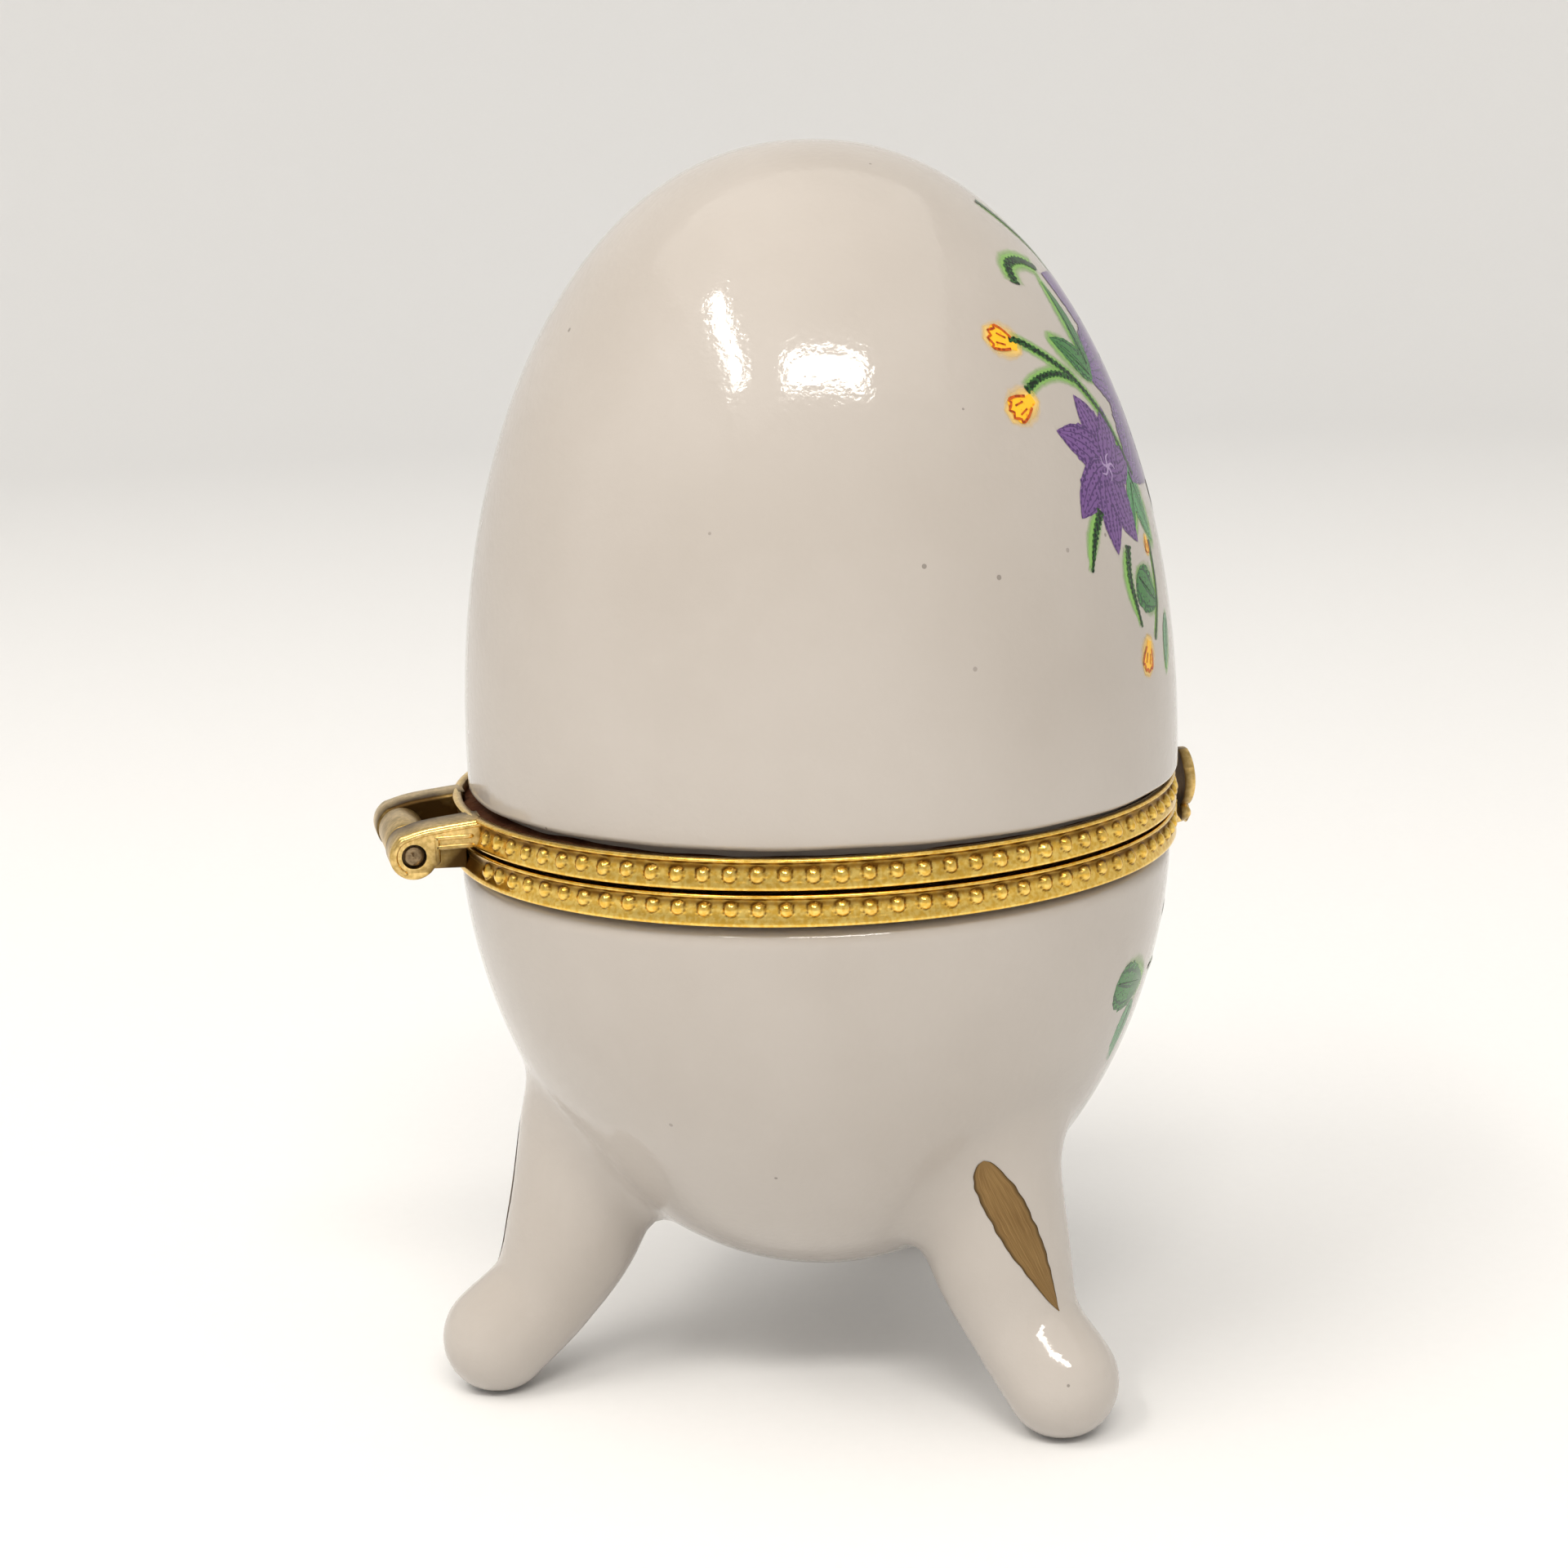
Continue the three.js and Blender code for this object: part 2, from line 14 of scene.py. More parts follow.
import bpy
import numpy as np
from mathutils import Matrix, Vector
from mathutils.geometry import tessellate_polygon


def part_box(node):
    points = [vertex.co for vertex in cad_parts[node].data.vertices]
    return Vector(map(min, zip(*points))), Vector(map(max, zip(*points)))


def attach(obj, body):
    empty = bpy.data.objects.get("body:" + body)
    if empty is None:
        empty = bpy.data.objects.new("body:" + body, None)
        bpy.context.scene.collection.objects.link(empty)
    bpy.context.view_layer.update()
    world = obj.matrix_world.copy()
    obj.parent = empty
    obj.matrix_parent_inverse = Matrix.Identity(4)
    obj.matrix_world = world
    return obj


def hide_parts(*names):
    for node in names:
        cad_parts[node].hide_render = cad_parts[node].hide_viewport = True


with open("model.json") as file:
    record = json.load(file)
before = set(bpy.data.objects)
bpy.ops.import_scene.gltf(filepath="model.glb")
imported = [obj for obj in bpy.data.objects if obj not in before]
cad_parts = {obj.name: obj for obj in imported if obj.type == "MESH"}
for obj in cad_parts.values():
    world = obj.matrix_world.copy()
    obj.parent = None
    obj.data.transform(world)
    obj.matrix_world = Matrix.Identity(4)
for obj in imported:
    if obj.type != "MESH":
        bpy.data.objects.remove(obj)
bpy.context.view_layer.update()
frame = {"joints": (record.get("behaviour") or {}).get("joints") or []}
MM = 0.001
LOG = logging.getLogger("egg_box")

Point = tuple[float, float]
Place = tuple[float, float, float]
Rgb = tuple[float, float, float]
Form = Callable[[np.ndarray], np.ndarray]
Width = Callable[[np.ndarray], np.ndarray]
Socket = bpy.types.NodeSocket


# ---- places read from the frame -----------------------------------------------------------------------


@dataclass(frozen=True)
class Layout:
    """Where the frame puts the box's main parts.

    Attributes:
        axis_y: place of the bowl's and the bezels' axis.
        lid_y: place of the lid's own axis, a little towards the clasp.
        seam: height of the parting line between the bezels.
        pin_y: place of the hinge pin.
        bore: inside radius of both bezels' walls.
        flange: inner radius of both bezels' flanges.
        lid_radius: widest radius of the lid.
        lid_top: height of the lid's top.
        bowl_radius: widest radius of the bowl.
    """

    axis_y: float
    lid_y: float
    seam: float
    pin_y: float
    bore: float
    flange: float
    lid_radius: float
    lid_top: float
    bowl_radius: float

    @classmethod
    def read(cls) -> "Layout":
        """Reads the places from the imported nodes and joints.

        Returns:
            The layout in millimetres.
        """
        joints = {joint["name"]: joint["pos_m"] for joint in frame["joints"]}
        cement_low, cement_high = (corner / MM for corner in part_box("base_cement"))
        lid_low, lid_high = (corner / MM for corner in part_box("lid_shell"))
        base_low, base_high = (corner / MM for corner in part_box("base_shell"))
        bond, flange_reach = 0.1, 2.9
        return cls(
            axis_y=(cement_low.y + cement_high.y) / 2,
            lid_y=(lid_low.y + lid_high.y) / 2,
            seam=joints["lid_hinge"][2] / MM,
            pin_y=joints["lid_hinge"][1] / MM,
            bore=cement_high.x + bond,
            flange=cement_high.x - flange_reach,
            lid_radius=(lid_high.x - lid_low.x) / 2,
            lid_top=lid_high.z,
            bowl_radius=(base_high.x - base_low.x) / 2,
        )


# ---- mesh tools ---------------------------------------------------------------------------------------


class Body(Enum):
    """The bodies that pieces ride on."""

    BASE = "base"
    LID = "lid"
    CLASP = "clasp"


class Slot(Enum):
    """The record's material slots."""

    PORCELAIN = "porcelain"
    BRASS = "brass"
    DARK_BRASS = "dark_brass"
    CEMENT = "cement"


@dataclass
class Surface:
    """A mesh being made: points in millimetres, faces, and what its material reads.

    Attributes:
        points: one row of x, y, z for each vertex.
        faces: vertex numbers of each face.
        uv: one row of u, v for each vertex, or None.
        shade: one value of painted shade for each vertex, 0 in the open and 1 in a fully shaded hollow, or
            None.
        normals: one row for each vertex where the form gives an exact normal, or None.
    """

    points: np.ndarray
    faces: list[Sequence[int]]
    uv: np.ndarray | None = None
    shade: np.ndarray | None = None
    normals: np.ndarray | None = None

    def object(self, name: str, material: bpy.types.Material, sharp_deg: float = 50.0) -> bpy.types.Object:
        """Turns the surface into a Blender object.

        Args:
            name: the object's name.
            material: its finish.
            sharp_deg: edges that bend more than this stay crisp.

        Returns:
            The new object, at the origin.
        """
        mesh = bpy.data.meshes.new(name)
        mesh.from_pydata((self.points * MM).tolist(), [], [list(face) for face in self.faces])
        mesh.update()
        mesh.polygons.foreach_set("use_smooth", [True] * len(mesh.polygons))
        mesh.set_sharp_from_angle(angle=math.radians(sharp_deg))
        if self.uv is not None:
            layer = mesh.uv_layers.new(name="UVMap")
            loops = np.zeros(len(mesh.loops), int)
            mesh.loops.foreach_get("vertex_index", loops)
            layer.data.foreach_set("uv", self.uv[loops].astype(np.float32).ravel())
        if self.shade is not None:
            # The painted shade goes to the material as a vertex attribute.
            layer = mesh.attributes.new("painted_shade_and_tarnish", "FLOAT", "POINT")
            layer.data.foreach_set("value", self.shade.astype(np.float32))
        if self.normals is not None:
            mesh.normals_split_custom_set_from_vertices(self.normals.tolist())
        mesh.materials.append(material)
        made = bpy.data.objects.new(name, mesh)
        bpy.context.scene.collection.objects.link(made)
        return made


def place(piece: bpy.types.Object, body: Body, slot: Slot, *nodes: str) -> bpy.types.Object:
    """Rides a piece on its body, hides the CAD nodes that it stands for, and reports it.

    Args:
        piece: the new object.
        body: the body that it moves with.
        slot: the record's slot for its finish; not used.
        nodes: the CAD nodes that it replaces.

    Returns:
        The same object.
    """
    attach(piece, body.value)
    if nodes:
        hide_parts(*nodes)
    LOG.info("%s rides on %s with %d faces", piece.name, body.value, len(piece.data.polygons))
    return piece


def joined(parts: Sequence[Surface]) -> Surface:
    """Puts several surfaces into one mesh.

    Args:
        parts: the surfaces, which all have uv and shade or all lack them.

    Returns:
        One surface that holds them all.
    """
    starts = np.cumsum([0] + [len(part.points) for part in parts])
    faces = [[i + start for i in face] for part, start in zip(parts, starts) for face in part.faces]
    keep = {}
    for name in ("uv", "shade", "normals"):
        values = [getattr(part, name) for part in parts]
        keep[name] = None if any(v is None for v in values) else np.concatenate(values)
    return Surface(np.concatenate([part.points for part in parts]), faces, **keep)


def revolved(profile: Sequence[Point], steps: int, centre_y: float) -> Surface:
    """Turns a profile about a vertical axis.

    Args:
        profile: radius and height of each point, with the outer side rising. Ends on the axis become poles.
        steps: facets round the axis.
        centre_y: place of the axis.

    Returns:
        The turned surface. A profile with no end on the axis is closed into a ring.
    """
    turn = np.arange(steps) * 2 * math.pi / steps
    points, rings = [], []
    for radius, height in profile:
        if radius < 1e-6:
            rings.append([len(points)] * steps)
            points.append((0.0, centre_y, height))
            continue
        rings.append(list(range(len(points), len(points) + steps)))
        points += [(radius * math.cos(a), centre_y + radius * math.sin(a), height) for a in turn]
    if rings[0][0] != rings[0][1] and rings[-1][0] != rings[-1][1]:
        rings.append(rings[0])
    faces = []
    for low, high in zip(rings, rings[1:]):
        for i in range(steps):
            j = (i + 1) % steps
            quad = [low[i], low[j], high[j], high[i]]
            faces.append([v for k, v in enumerate(quad) if v != quad[k - 1]])
    return Surface(np.array(points), faces)


def smooth_line(points: Sequence[Point], per_span: int) -> list[Point]:
    """Runs a smooth curve through points.

    Args:
        points: the points to pass through.
        per_span: steps between each two of them.

    Returns:
        The points of the curve, ends included.
    """
    p = np.array(points, float)
    p = np.vstack([2 * p[0] - p[1], p, 2 * p[-1] - p[-2]])
    out = []
    for a, b, c, d in zip(p, p[1:], p[2:], p[3:]):
        bow, twist = 2 * a - 5 * b + 4 * c - d, 3 * b - a - 3 * c + d
        parts = np.arange(per_span) / per_span
        out += [0.5 * (2 * b + (c - a) * t + bow * t**2 + twist * t**3) for t in parts]
    return [tuple(v) for v in out] + [tuple(p[-2])]


def slab(
    outline: Sequence[Point],
    width: float,
    edge: float,
    hole: Sequence[Point] = (),
) -> Surface:
    """Extrudes a side view along X, centred on X = 0, with rounded edges.

    Args:
        outline: y and z of the side view, anticlockwise.
        width: size along X.
        edge: radius of the rounded edges.
        hole: y and z of a hole right through, anticlockwise, or nothing.

    Returns:
        The closed surface.
    """
    line = np.array(outline, float)
    tangent = np.roll(line, -1, 0) - np.roll(line, 1, 0)
    tangent /= np.maximum(np.linalg.norm(tangent, axis=1, keepdims=True), 1e-9)
    inward = np.stack([-tangent[:, 1], tangent[:, 0]], 1)
    bends = [math.pi / 2 * k / 3 for k in range(4)]
    sides = [(-width / 2 + edge * (1 - math.sin(b)), edge * (1 - math.cos(b))) for b in reversed(bends)]
    sides += [(-x, inset) for x, inset in reversed(sides)]
    points, count = [], len(line)
    for x, inset in sides:
        points += [(x, y, z) for y, z in line + inward * inset]
    faces = []
    for ring in range(len(sides) - 1):
        for i in range(count):
            j = (i + 1) % count
            a, b = ring * count, (ring + 1) * count
            faces.append([a + i, b + i, b + j, a + j])
    first, last = 0, (len(sides) - 1) * count
    loops = [[first + i for i in range(count)], [last + i for i in range(count)]]
    if hole:
        near, far = len(points), len(points) + len(hole)
        points += [(-width / 2, y, z) for y, z in hole] + [(width / 2, y, z) for y, z in hole]
        holes = [[near + i for i in range(len(hole))], [far + i for i in range(len(hole))]]
        for i in range(len(hole)):
            j = (i + 1) % len(hole)
            faces.append([near + i, near + j, far + j, far + i])
    for side, loop in enumerate(loops):
        numbers = loop + (holes[side] if hole else [])
        rings = [[Vector((0, points[v][1], points[v][2])) for v in loop]]
        if hole:
            rings.append([Vector((0, points[v][1], points[v][2])) for v in holes[side]])
        for triangle in tessellate_polygon(rings):
            face = [numbers[v] for v in triangle]
            a, b, c = (points[v] for v in face)
            turn = (b[1] - a[1]) * (c[2] - a[2]) - (b[2] - a[2]) * (c[1] - a[1])
            faces.append(face if (turn > 0) == (side == 1) else face[::-1])
    return Surface(np.array(points), faces)


def tube(path: Sequence[Place], radius: float, sides: int = 10) -> Surface:
    """A round bar with domed ends along a path.

    Args:
        path: the centre line.
        radius: the bar's radius.
        sides: facets round it.

    Returns:
        The closed surface.
    """
    line = np.array(path, float)
    ahead = np.gradient(line, axis=0)
    ahead /= np.linalg.norm(ahead, axis=1, keepdims=True)
    up = np.array([1.0, 0.0, 0.0])
    side = np.cross(ahead, up)
    side /= np.maximum(np.linalg.norm(side, axis=1, keepdims=True), 1e-9)
    other = np.cross(side, ahead)
    caps = [(-1.0, 0.0), (-0.8, 0.6), (0.0, 1.0)]
    rings = [(line[0] + ahead[0] * radius * a, 0, b) for a, b in caps]
    rings += [(line[i], i, 1.0) for i in range(1, len(line) - 1)]
    rings += [(line[-1] - ahead[-1] * radius * a, -1, b) for a, b in reversed(caps)]
    points, numbers = [], []
    for centre, i, share in rings:
        if share == 0.0:
            numbers.append([len(points)] * sides)
            points.append(centre)
            continue
        numbers.append(list(range(len(points), len(points) + sides)))
        for k in range(sides):
            a = 2 * math.pi * k / sides
            points.append(centre + share * radius * (math.cos(a) * side[i] + math.sin(a) * other[i]))
    faces = []
    for low, high in zip(numbers, numbers[1:]):
        for i in range(sides):
            j = (i + 1) % sides
            quad = [low[j], low[i], high[i], high[j]]
            faces.append([v for k, v in enumerate(quad) if v != quad[k - 1]])
    return Surface(np.array(points), faces)


def ripple(angle: np.ndarray, seed: int, waves: Sequence[int]) -> np.ndarray:
    """A smooth unevenness round a ring, between about -1 and 1."""
    phases = np.random.default_rng(seed).uniform(0, 2 * math.pi, len(waves))
    return sum(np.sin(n * angle + phase) for n, phase in zip(waves, phases)) / len(waves)


# ---- material tools -----------------------------------------------------------------------------------


class Nodes:
    """A node tree being wired up."""

    def __init__(self, tree: bpy.types.NodeTree) -> None:
        """Starts from an existing tree."""
        self.tree = tree

    def add(self, kind: str, inputs: dict | None = None, **settings: object) -> bpy.types.Node:
        """Adds a node.

        Args:
            kind: the node's type name.
            inputs: value or source socket for each input, by name or number.
            settings: attributes set on the node.

        Returns:
            The new node.
        """
        node = self.tree.nodes.new(kind)
        for key, value in settings.items():
            setattr(node, key, value)
        for key, value in (inputs or {}).items():
            if isinstance(value, Socket):
                self.tree.links.new(value, node.inputs[key])
            else:
                node.inputs[key].default_value = value
        return node

    def ramp(self, source: Socket, stops: Sequence[Point]) -> Socket:
        """Maps a value through a ramp of greys.

        Args:
            source: the value.
            stops: position and grey of each stop.

        Returns:
            The mapped value.
        """
        node = self.add("ShaderNodeValToRGB", {"Fac": source})
        elements = node.color_ramp.elements
        while len(elements) < len(stops):
            elements.new(0.5)
        for element, (position, grey) in zip(elements, stops):
            element.position = position
            element.color = (grey, grey, grey, 1)
        return node.outputs["Color"]

    def mix(self, factor: object, first: object, second: object) -> Socket:
        """Mixes two colours."""
        inputs = {0: factor, 6: first, 7: second}
        return self.add("ShaderNodeMix", inputs, data_type="RGBA").outputs[2]

    def maths(self, operation: str, first: object, second: object = 0.0) -> Socket:
        """Adds a Math node."""
        return self.add("ShaderNodeMath", {0: first, 1: second}, operation=operation).outputs[0]


def rgba(colour: Rgb) -> tuple[float, float, float, float]:
    """A colour with a full alpha."""
    return (*colour, 1.0)


class SharedEffects:
    """Node groups that several materials place with their own values."""

    def __init__(self) -> None:
        """Builds every group once."""
        self.mottle = self._mottle()
        self.specks = self._specks()
        self.screen = self._screen()

    @staticmethod
    def _group(
        name: str, inputs: dict[str, float], outputs: dict[str, str]
    ) -> tuple[bpy.types.NodeTree, Nodes]:
        """Starts a node group.

        Args:
            name: the group's name.
            inputs: name and default of each number that it takes.
            outputs: name and socket type of each output.

        Returns:
            The group and its tree's helper.
        """
        group = bpy.data.node_groups.new(name, "ShaderNodeTree")
        for key, value in inputs.items():
            socket = group.interface.new_socket(name=key, in_out="INPUT", socket_type="NodeSocketFloat")
            socket.default_value = value
        for key, kind in outputs.items():
            group.interface.new_socket(name=key, in_out="OUTPUT", socket_type=kind)
        return group, Nodes(group)

    def _mottle(self) -> bpy.types.NodeTree:
        """Soft cloudy unevenness at two scales, in object coordinates.

        Returns:
            A group with Scale and Fine Scale in, and Broad and Fine out.
        """
        inputs = {"Scale": 60.0, "Fine Scale": 900.0}
        group, nodes = self._group("mottle", inputs, {"Broad": "NodeSocketFloat", "Fine": "NodeSocketFloat"})
        given = nodes.add("NodeGroupInput").outputs
        where = nodes.add("ShaderNodeTexCoord").outputs["Object"]
        broad = nodes.add("ShaderNodeTexNoise", {"Vector": where, "Scale": given["Scale"], "Detail": 3.0})
        fine = nodes.add("ShaderNodeTexNoise", {"Vector": where, "Scale": given["Fine Scale"], "Detail": 2.0})
        nodes.add("NodeGroupOutput", {"Broad": broad.outputs["Fac"], "Fine": fine.outputs["Fac"]})
        return group

    def _specks(self) -> bpy.types.NodeTree:
        """Scattered small specks, each with its own size.

        Returns:
            A group with Scale, Size and Share in, and a Mask of 1 on the specks out.
        """
        inputs = {"Scale": 220.0, "Size": 0.12, "Share": 0.1}
        group, nodes = self._group("specks", inputs, {"Mask": "NodeSocketFloat"})
        given = nodes.add("NodeGroupInput").outputs
        where = nodes.add("ShaderNodeTexCoord").outputs["Object"]
        cells = nodes.add("ShaderNodeTexVoronoi", {"Vector": where, "Scale": given["Scale"]})
        pick = nodes.add("ShaderNodeSeparateColor", {"Color": cells.outputs["Color"]}).outputs
        chosen = nodes.maths("LESS_THAN", pick["Red"], given["Share"])
        reach = nodes.maths("MULTIPLY", given["Size"], nodes.maths("ADD", pick["Green"], 0.4))
        inside = nodes.maths("LESS_THAN", cells.outputs["Distance"], reach)
        nodes.add("NodeGroupOutput", {"Mask": nodes.maths("MULTIPLY", chosen, inside)})
        return group

    def _screen(self) -> bpy.types.NodeTree:
        """The dot screen of a printed transfer: dots that grow with the tone.

        Returns:
            A group with Scale and Tone in, and a Mask of 1 on the ink out.
        """
        inputs = {"Scale": 2600.0, "Tone": 0.5}
        group, nodes = self._group("dot_screen", inputs, {"Mask": "NodeSocketFloat"})
        given = nodes.add("NodeGroupInput").outputs
        where = nodes.add("ShaderNodeTexCoord").outputs["Object"]
        grid = {"Vector": where, "Scale": given["Scale"], "Randomness": 0.35}
        distance = nodes.add("ShaderNodeTexVoronoi", grid).outputs["Distance"]
        nodes.add("NodeGroupOutput", {"Mask": nodes.maths("LESS_THAN", distance, given["Tone"])})
        return group

    def use(self, nodes: Nodes, group: bpy.types.NodeTree, **values: object) -> bpy.types.Node:
        """Places a group in a material.

        Args:
            nodes: the material's tree.
            group: the group to place.
            values: value or socket for each input; underscores stand for spaces.

        Returns:
            The group's node.
        """
        node = nodes.add("ShaderNodeGroup", node_tree=group)
        for key, value in values.items():
            socket = node.inputs[key.replace("_", " ")]
            if isinstance(value, Socket):
                nodes.tree.links.new(value, socket)
            else:
                socket.default_value = value
        return node


def new_material(name: str) -> tuple[bpy.types.Material, Nodes, bpy.types.Node]:
    """Starts a material.

    Args:
        name: the material's name.

    Returns:
        The material, its tree's helper and its Principled shader.
    """
    material = bpy.data.materials.new(name)
    material.use_nodes = True
    nodes = Nodes(material.node_tree)
    return material, nodes, material.node_tree.nodes["Principled BSDF"]


@dataclass(frozen=True)
class Glaze:
    """Glossy warm white glaze with dust, pin holes and soft clouding."""

    colour: Rgb = (0.482, 0.442, 0.405)
    cloud: Rgb = (0.444, 0.403, 0.364)
    dust: Rgb = (0.10, 0.085, 0.07)
    roughness: float = 0.06
    dulling: float = 0.04
    peel: float = 0.6
    relief: float = 0.12

    def material(self, effects: SharedEffects) -> bpy.types.Material:
        """Builds the finish.

        Args:
            effects: the shared node groups.

        Returns:
            The material.
        """
        material, nodes, shader = new_material("porcelain_glaze")
        mottle = effects.use(nodes, effects.mottle, Scale=45.0, Fine_Scale=1500.0).outputs
        tone = nodes.ramp(mottle["Broad"], [(0.35, 0.0), (0.65, 1.0)])
        colour = nodes.mix(tone, rgba(self.colour), rgba(self.cloud))
        dust = effects.use(nodes, effects.specks, Scale=330.0, Size=0.055, Share=0.3).outputs["Mask"]
        pits = effects.use(nodes, effects.specks, Scale=210.0, Size=0.06, Share=0.2).outputs["Mask"]
        dust_tone, pit_tone = nodes.maths("MULTIPLY", dust, 0.55), nodes.maths("MULTIPLY", pits, 0.35)
        marks = nodes.maths("MAXIMUM", dust_tone, pit_tone)
        colour = nodes.mix(marks, colour, rgba(self.dust))
        nodes.tree.links.new(colour, shader.inputs["Base Color"])
        dullest = self.roughness + self.dulling
        gloss = nodes.add("ShaderNodeMapRange", {0: mottle["Broad"], 3: self.roughness, 4: dullest})
        nodes.tree.links.new(gloss.outputs[0], shader.inputs["Roughness"])
        peel = nodes.maths("MULTIPLY", mottle["Fine"], self.peel)
        height = nodes.maths("SUBTRACT", nodes.maths("ADD", mottle["Broad"], peel), pits)
        bump = nodes.add("ShaderNodeBump", {"Strength": self.relief, "Distance": 0.0003, "Height": height})
        nodes.tree.links.new(bump.outputs[0], shader.inputs["Normal"])
        shader.inputs["IOR"].default_value = 1.5
        return material


@dataclass(frozen=True)
class CastBrass:
    """Cast and lacquered brass: bright on the high places, brown with painted shade in the hollows and with
    tarnish in patches.

    Attributes:
        name: the material's name.
        bright: colour of the rubbed high places.
        middle: colour of the open faces.
        painted_shade_and_tarnish: colour of the painted shade in the hollows and of the tarnish patches.
        roughness: of the rubbed places.
        tarnish: how much brown shows on open faces, 0 to 1.
        relief: strength of the cast surface's unevenness.
        dulling: how much rougher the tarnish is.
    """

    name: str
    bright: Rgb
    middle: Rgb
    painted_shade_and_tarnish: Rgb
    roughness: float
    tarnish: float
    relief: float
    dulling: float = 0.3

    def material(self, effects: SharedEffects) -> bpy.types.Material:
        """Builds the finish.

        Args:
            effects: the shared node groups.

        Returns:
            The material.
        """
        material, nodes, shader = new_material(self.name)
        mottle = effects.use(nodes, effects.mottle, Scale=380.0, Fine_Scale=2600.0).outputs
        # Vertex attribute of painted shade: darkens hollows and shaded faces towards the brown colour, and
        # the tarnish patches are added to it.
        painted_shade_and_tarnish = nodes.add("ShaderNodeAttribute", attribute_name="painted_shade_and_tarnish").outputs["Fac"]
        patches = nodes.ramp(mottle["Broad"], [(0.4, 0.0), (0.68, 1.0)])
        patchy = nodes.maths("MULTIPLY", patches, self.tarnish)
        dark = nodes.maths("MINIMUM", nodes.maths("ADD", painted_shade_and_tarnish, patchy), 1.0)
        rubbed = nodes.ramp(mottle["Fine"], [(0.38, 0.0), (0.62, 1.0)])
        sheen = nodes.mix(rubbed, rgba(self.middle), rgba(self.bright))
        colour = nodes.mix(dark, sheen, rgba(self.painted_shade_and_tarnish))
        nodes.tree.links.new(colour, shader.inputs["Base Color"])
        dullest = self.roughness + self.dulling
        rough = nodes.add("ShaderNodeMapRange", {0: dark, 3: self.roughness, 4: dullest})
        nodes.tree.links.new(rough.outputs[0], shader.inputs["Roughness"])
        height = nodes.maths("ADD", mottle["Broad"], nodes.maths("MULTIPLY", mottle["Fine"], 0.35))
        bump = nodes.add("ShaderNodeBump", {"Strength": self.relief, "Distance": 0.00012, "Height": height})
        nodes.tree.links.new(bump.outputs[0], shader.inputs["Normal"])
        shader.inputs["Metallic"].default_value = 1.0
        return material


@dataclass(frozen=True)
class Putty:
    """Dull brown cement that holds the shells in the bezels."""

    colour: Rgb = (0.055, 0.017, 0.008)
    light: Rgb = (0.110, 0.048, 0.022)

    def material(self, effects: SharedEffects) -> bpy.types.Material:
        """Builds the finish.

        Args:
            effects: the shared node groups.

        Returns:
            The material.
        """
        material, nodes, shader = new_material("brown_cement")
        mottle = effects.use(nodes, effects.mottle, Scale=300.0, Fine_Scale=1800.0).outputs
        dry = nodes.ramp(mottle["Broad"], [(0.4, 0.0), (0.7, 1.0)])
        colour = nodes.mix(dry, rgba(self.colour), rgba(self.light))
        nodes.tree.links.new(colour, shader.inputs["Base Color"])
        bump = nodes.add("ShaderNodeBump", {"Strength": 0.6, "Distance": 0.0003, "Height": mottle["Fine"]})
        nodes.tree.links.new(bump.outputs[0], shader.inputs["Normal"])
        shader.inputs["Roughness"].default_value = 0.85
        shader.inputs["Specular IOR Level"].default_value = 0.05
        return material


@dataclass(frozen=True)
class Gilding:
    """Brushed brown gilt, darker where the paint pooled at the stroke's edge."""

    colour: Rgb = (0.185, 0.104, 0.036)
    light: Rgb = (0.31, 0.195, 0.075)
    edge: Rgb = (0.07, 0.042, 0.016)

    def material(self) -> bpy.types.Material:
        """Builds the finish, whose v runs across the stroke from edge to edge.

        Returns:
            The material.
        """
        material, nodes, shader = new_material("brushed_gilt")
        uv = nodes.add("ShaderNodeTexCoord").outputs["UV"]
        stretch = nodes.add("ShaderNodeMapping", {"Vector": uv, "Scale": (1.2, 14.0, 1.0)}).outputs[0]
        hairs = {"Vector": stretch, "Scale": 3.0, "Detail": 5.0}
        streaks = nodes.add("ShaderNodeTexNoise", hairs).outputs["Fac"]
        thin = nodes.ramp(streaks, [(0.35, 0.0), (0.7, 1.0)])
        colour = nodes.mix(thin, rgba(self.colour), rgba(self.light))
        across = nodes.add("ShaderNodeSeparateXYZ", {0: uv}).outputs[1]
        off_centre = nodes.maths("ABSOLUTE", nodes.maths("SUBTRACT", across, 0.5))
        rim = nodes.ramp(nodes.maths("MULTIPLY", off_centre, 2.0), [(0.78, 0.0), (0.98, 1.0)])
        nodes.tree.links.new(nodes.mix(rim, colour, rgba(self.edge)), shader.inputs["Base Color"])
        bump = nodes.add("ShaderNodeBump", {"Strength": 0.5, "Distance": 0.00006, "Height": streaks})
        nodes.tree.links.new(bump.outputs[0], shader.inputs["Normal"])
        shader.inputs["Metallic"].default_value = 0.75
        shader.inputs["Roughness"].default_value = 0.42
        return material


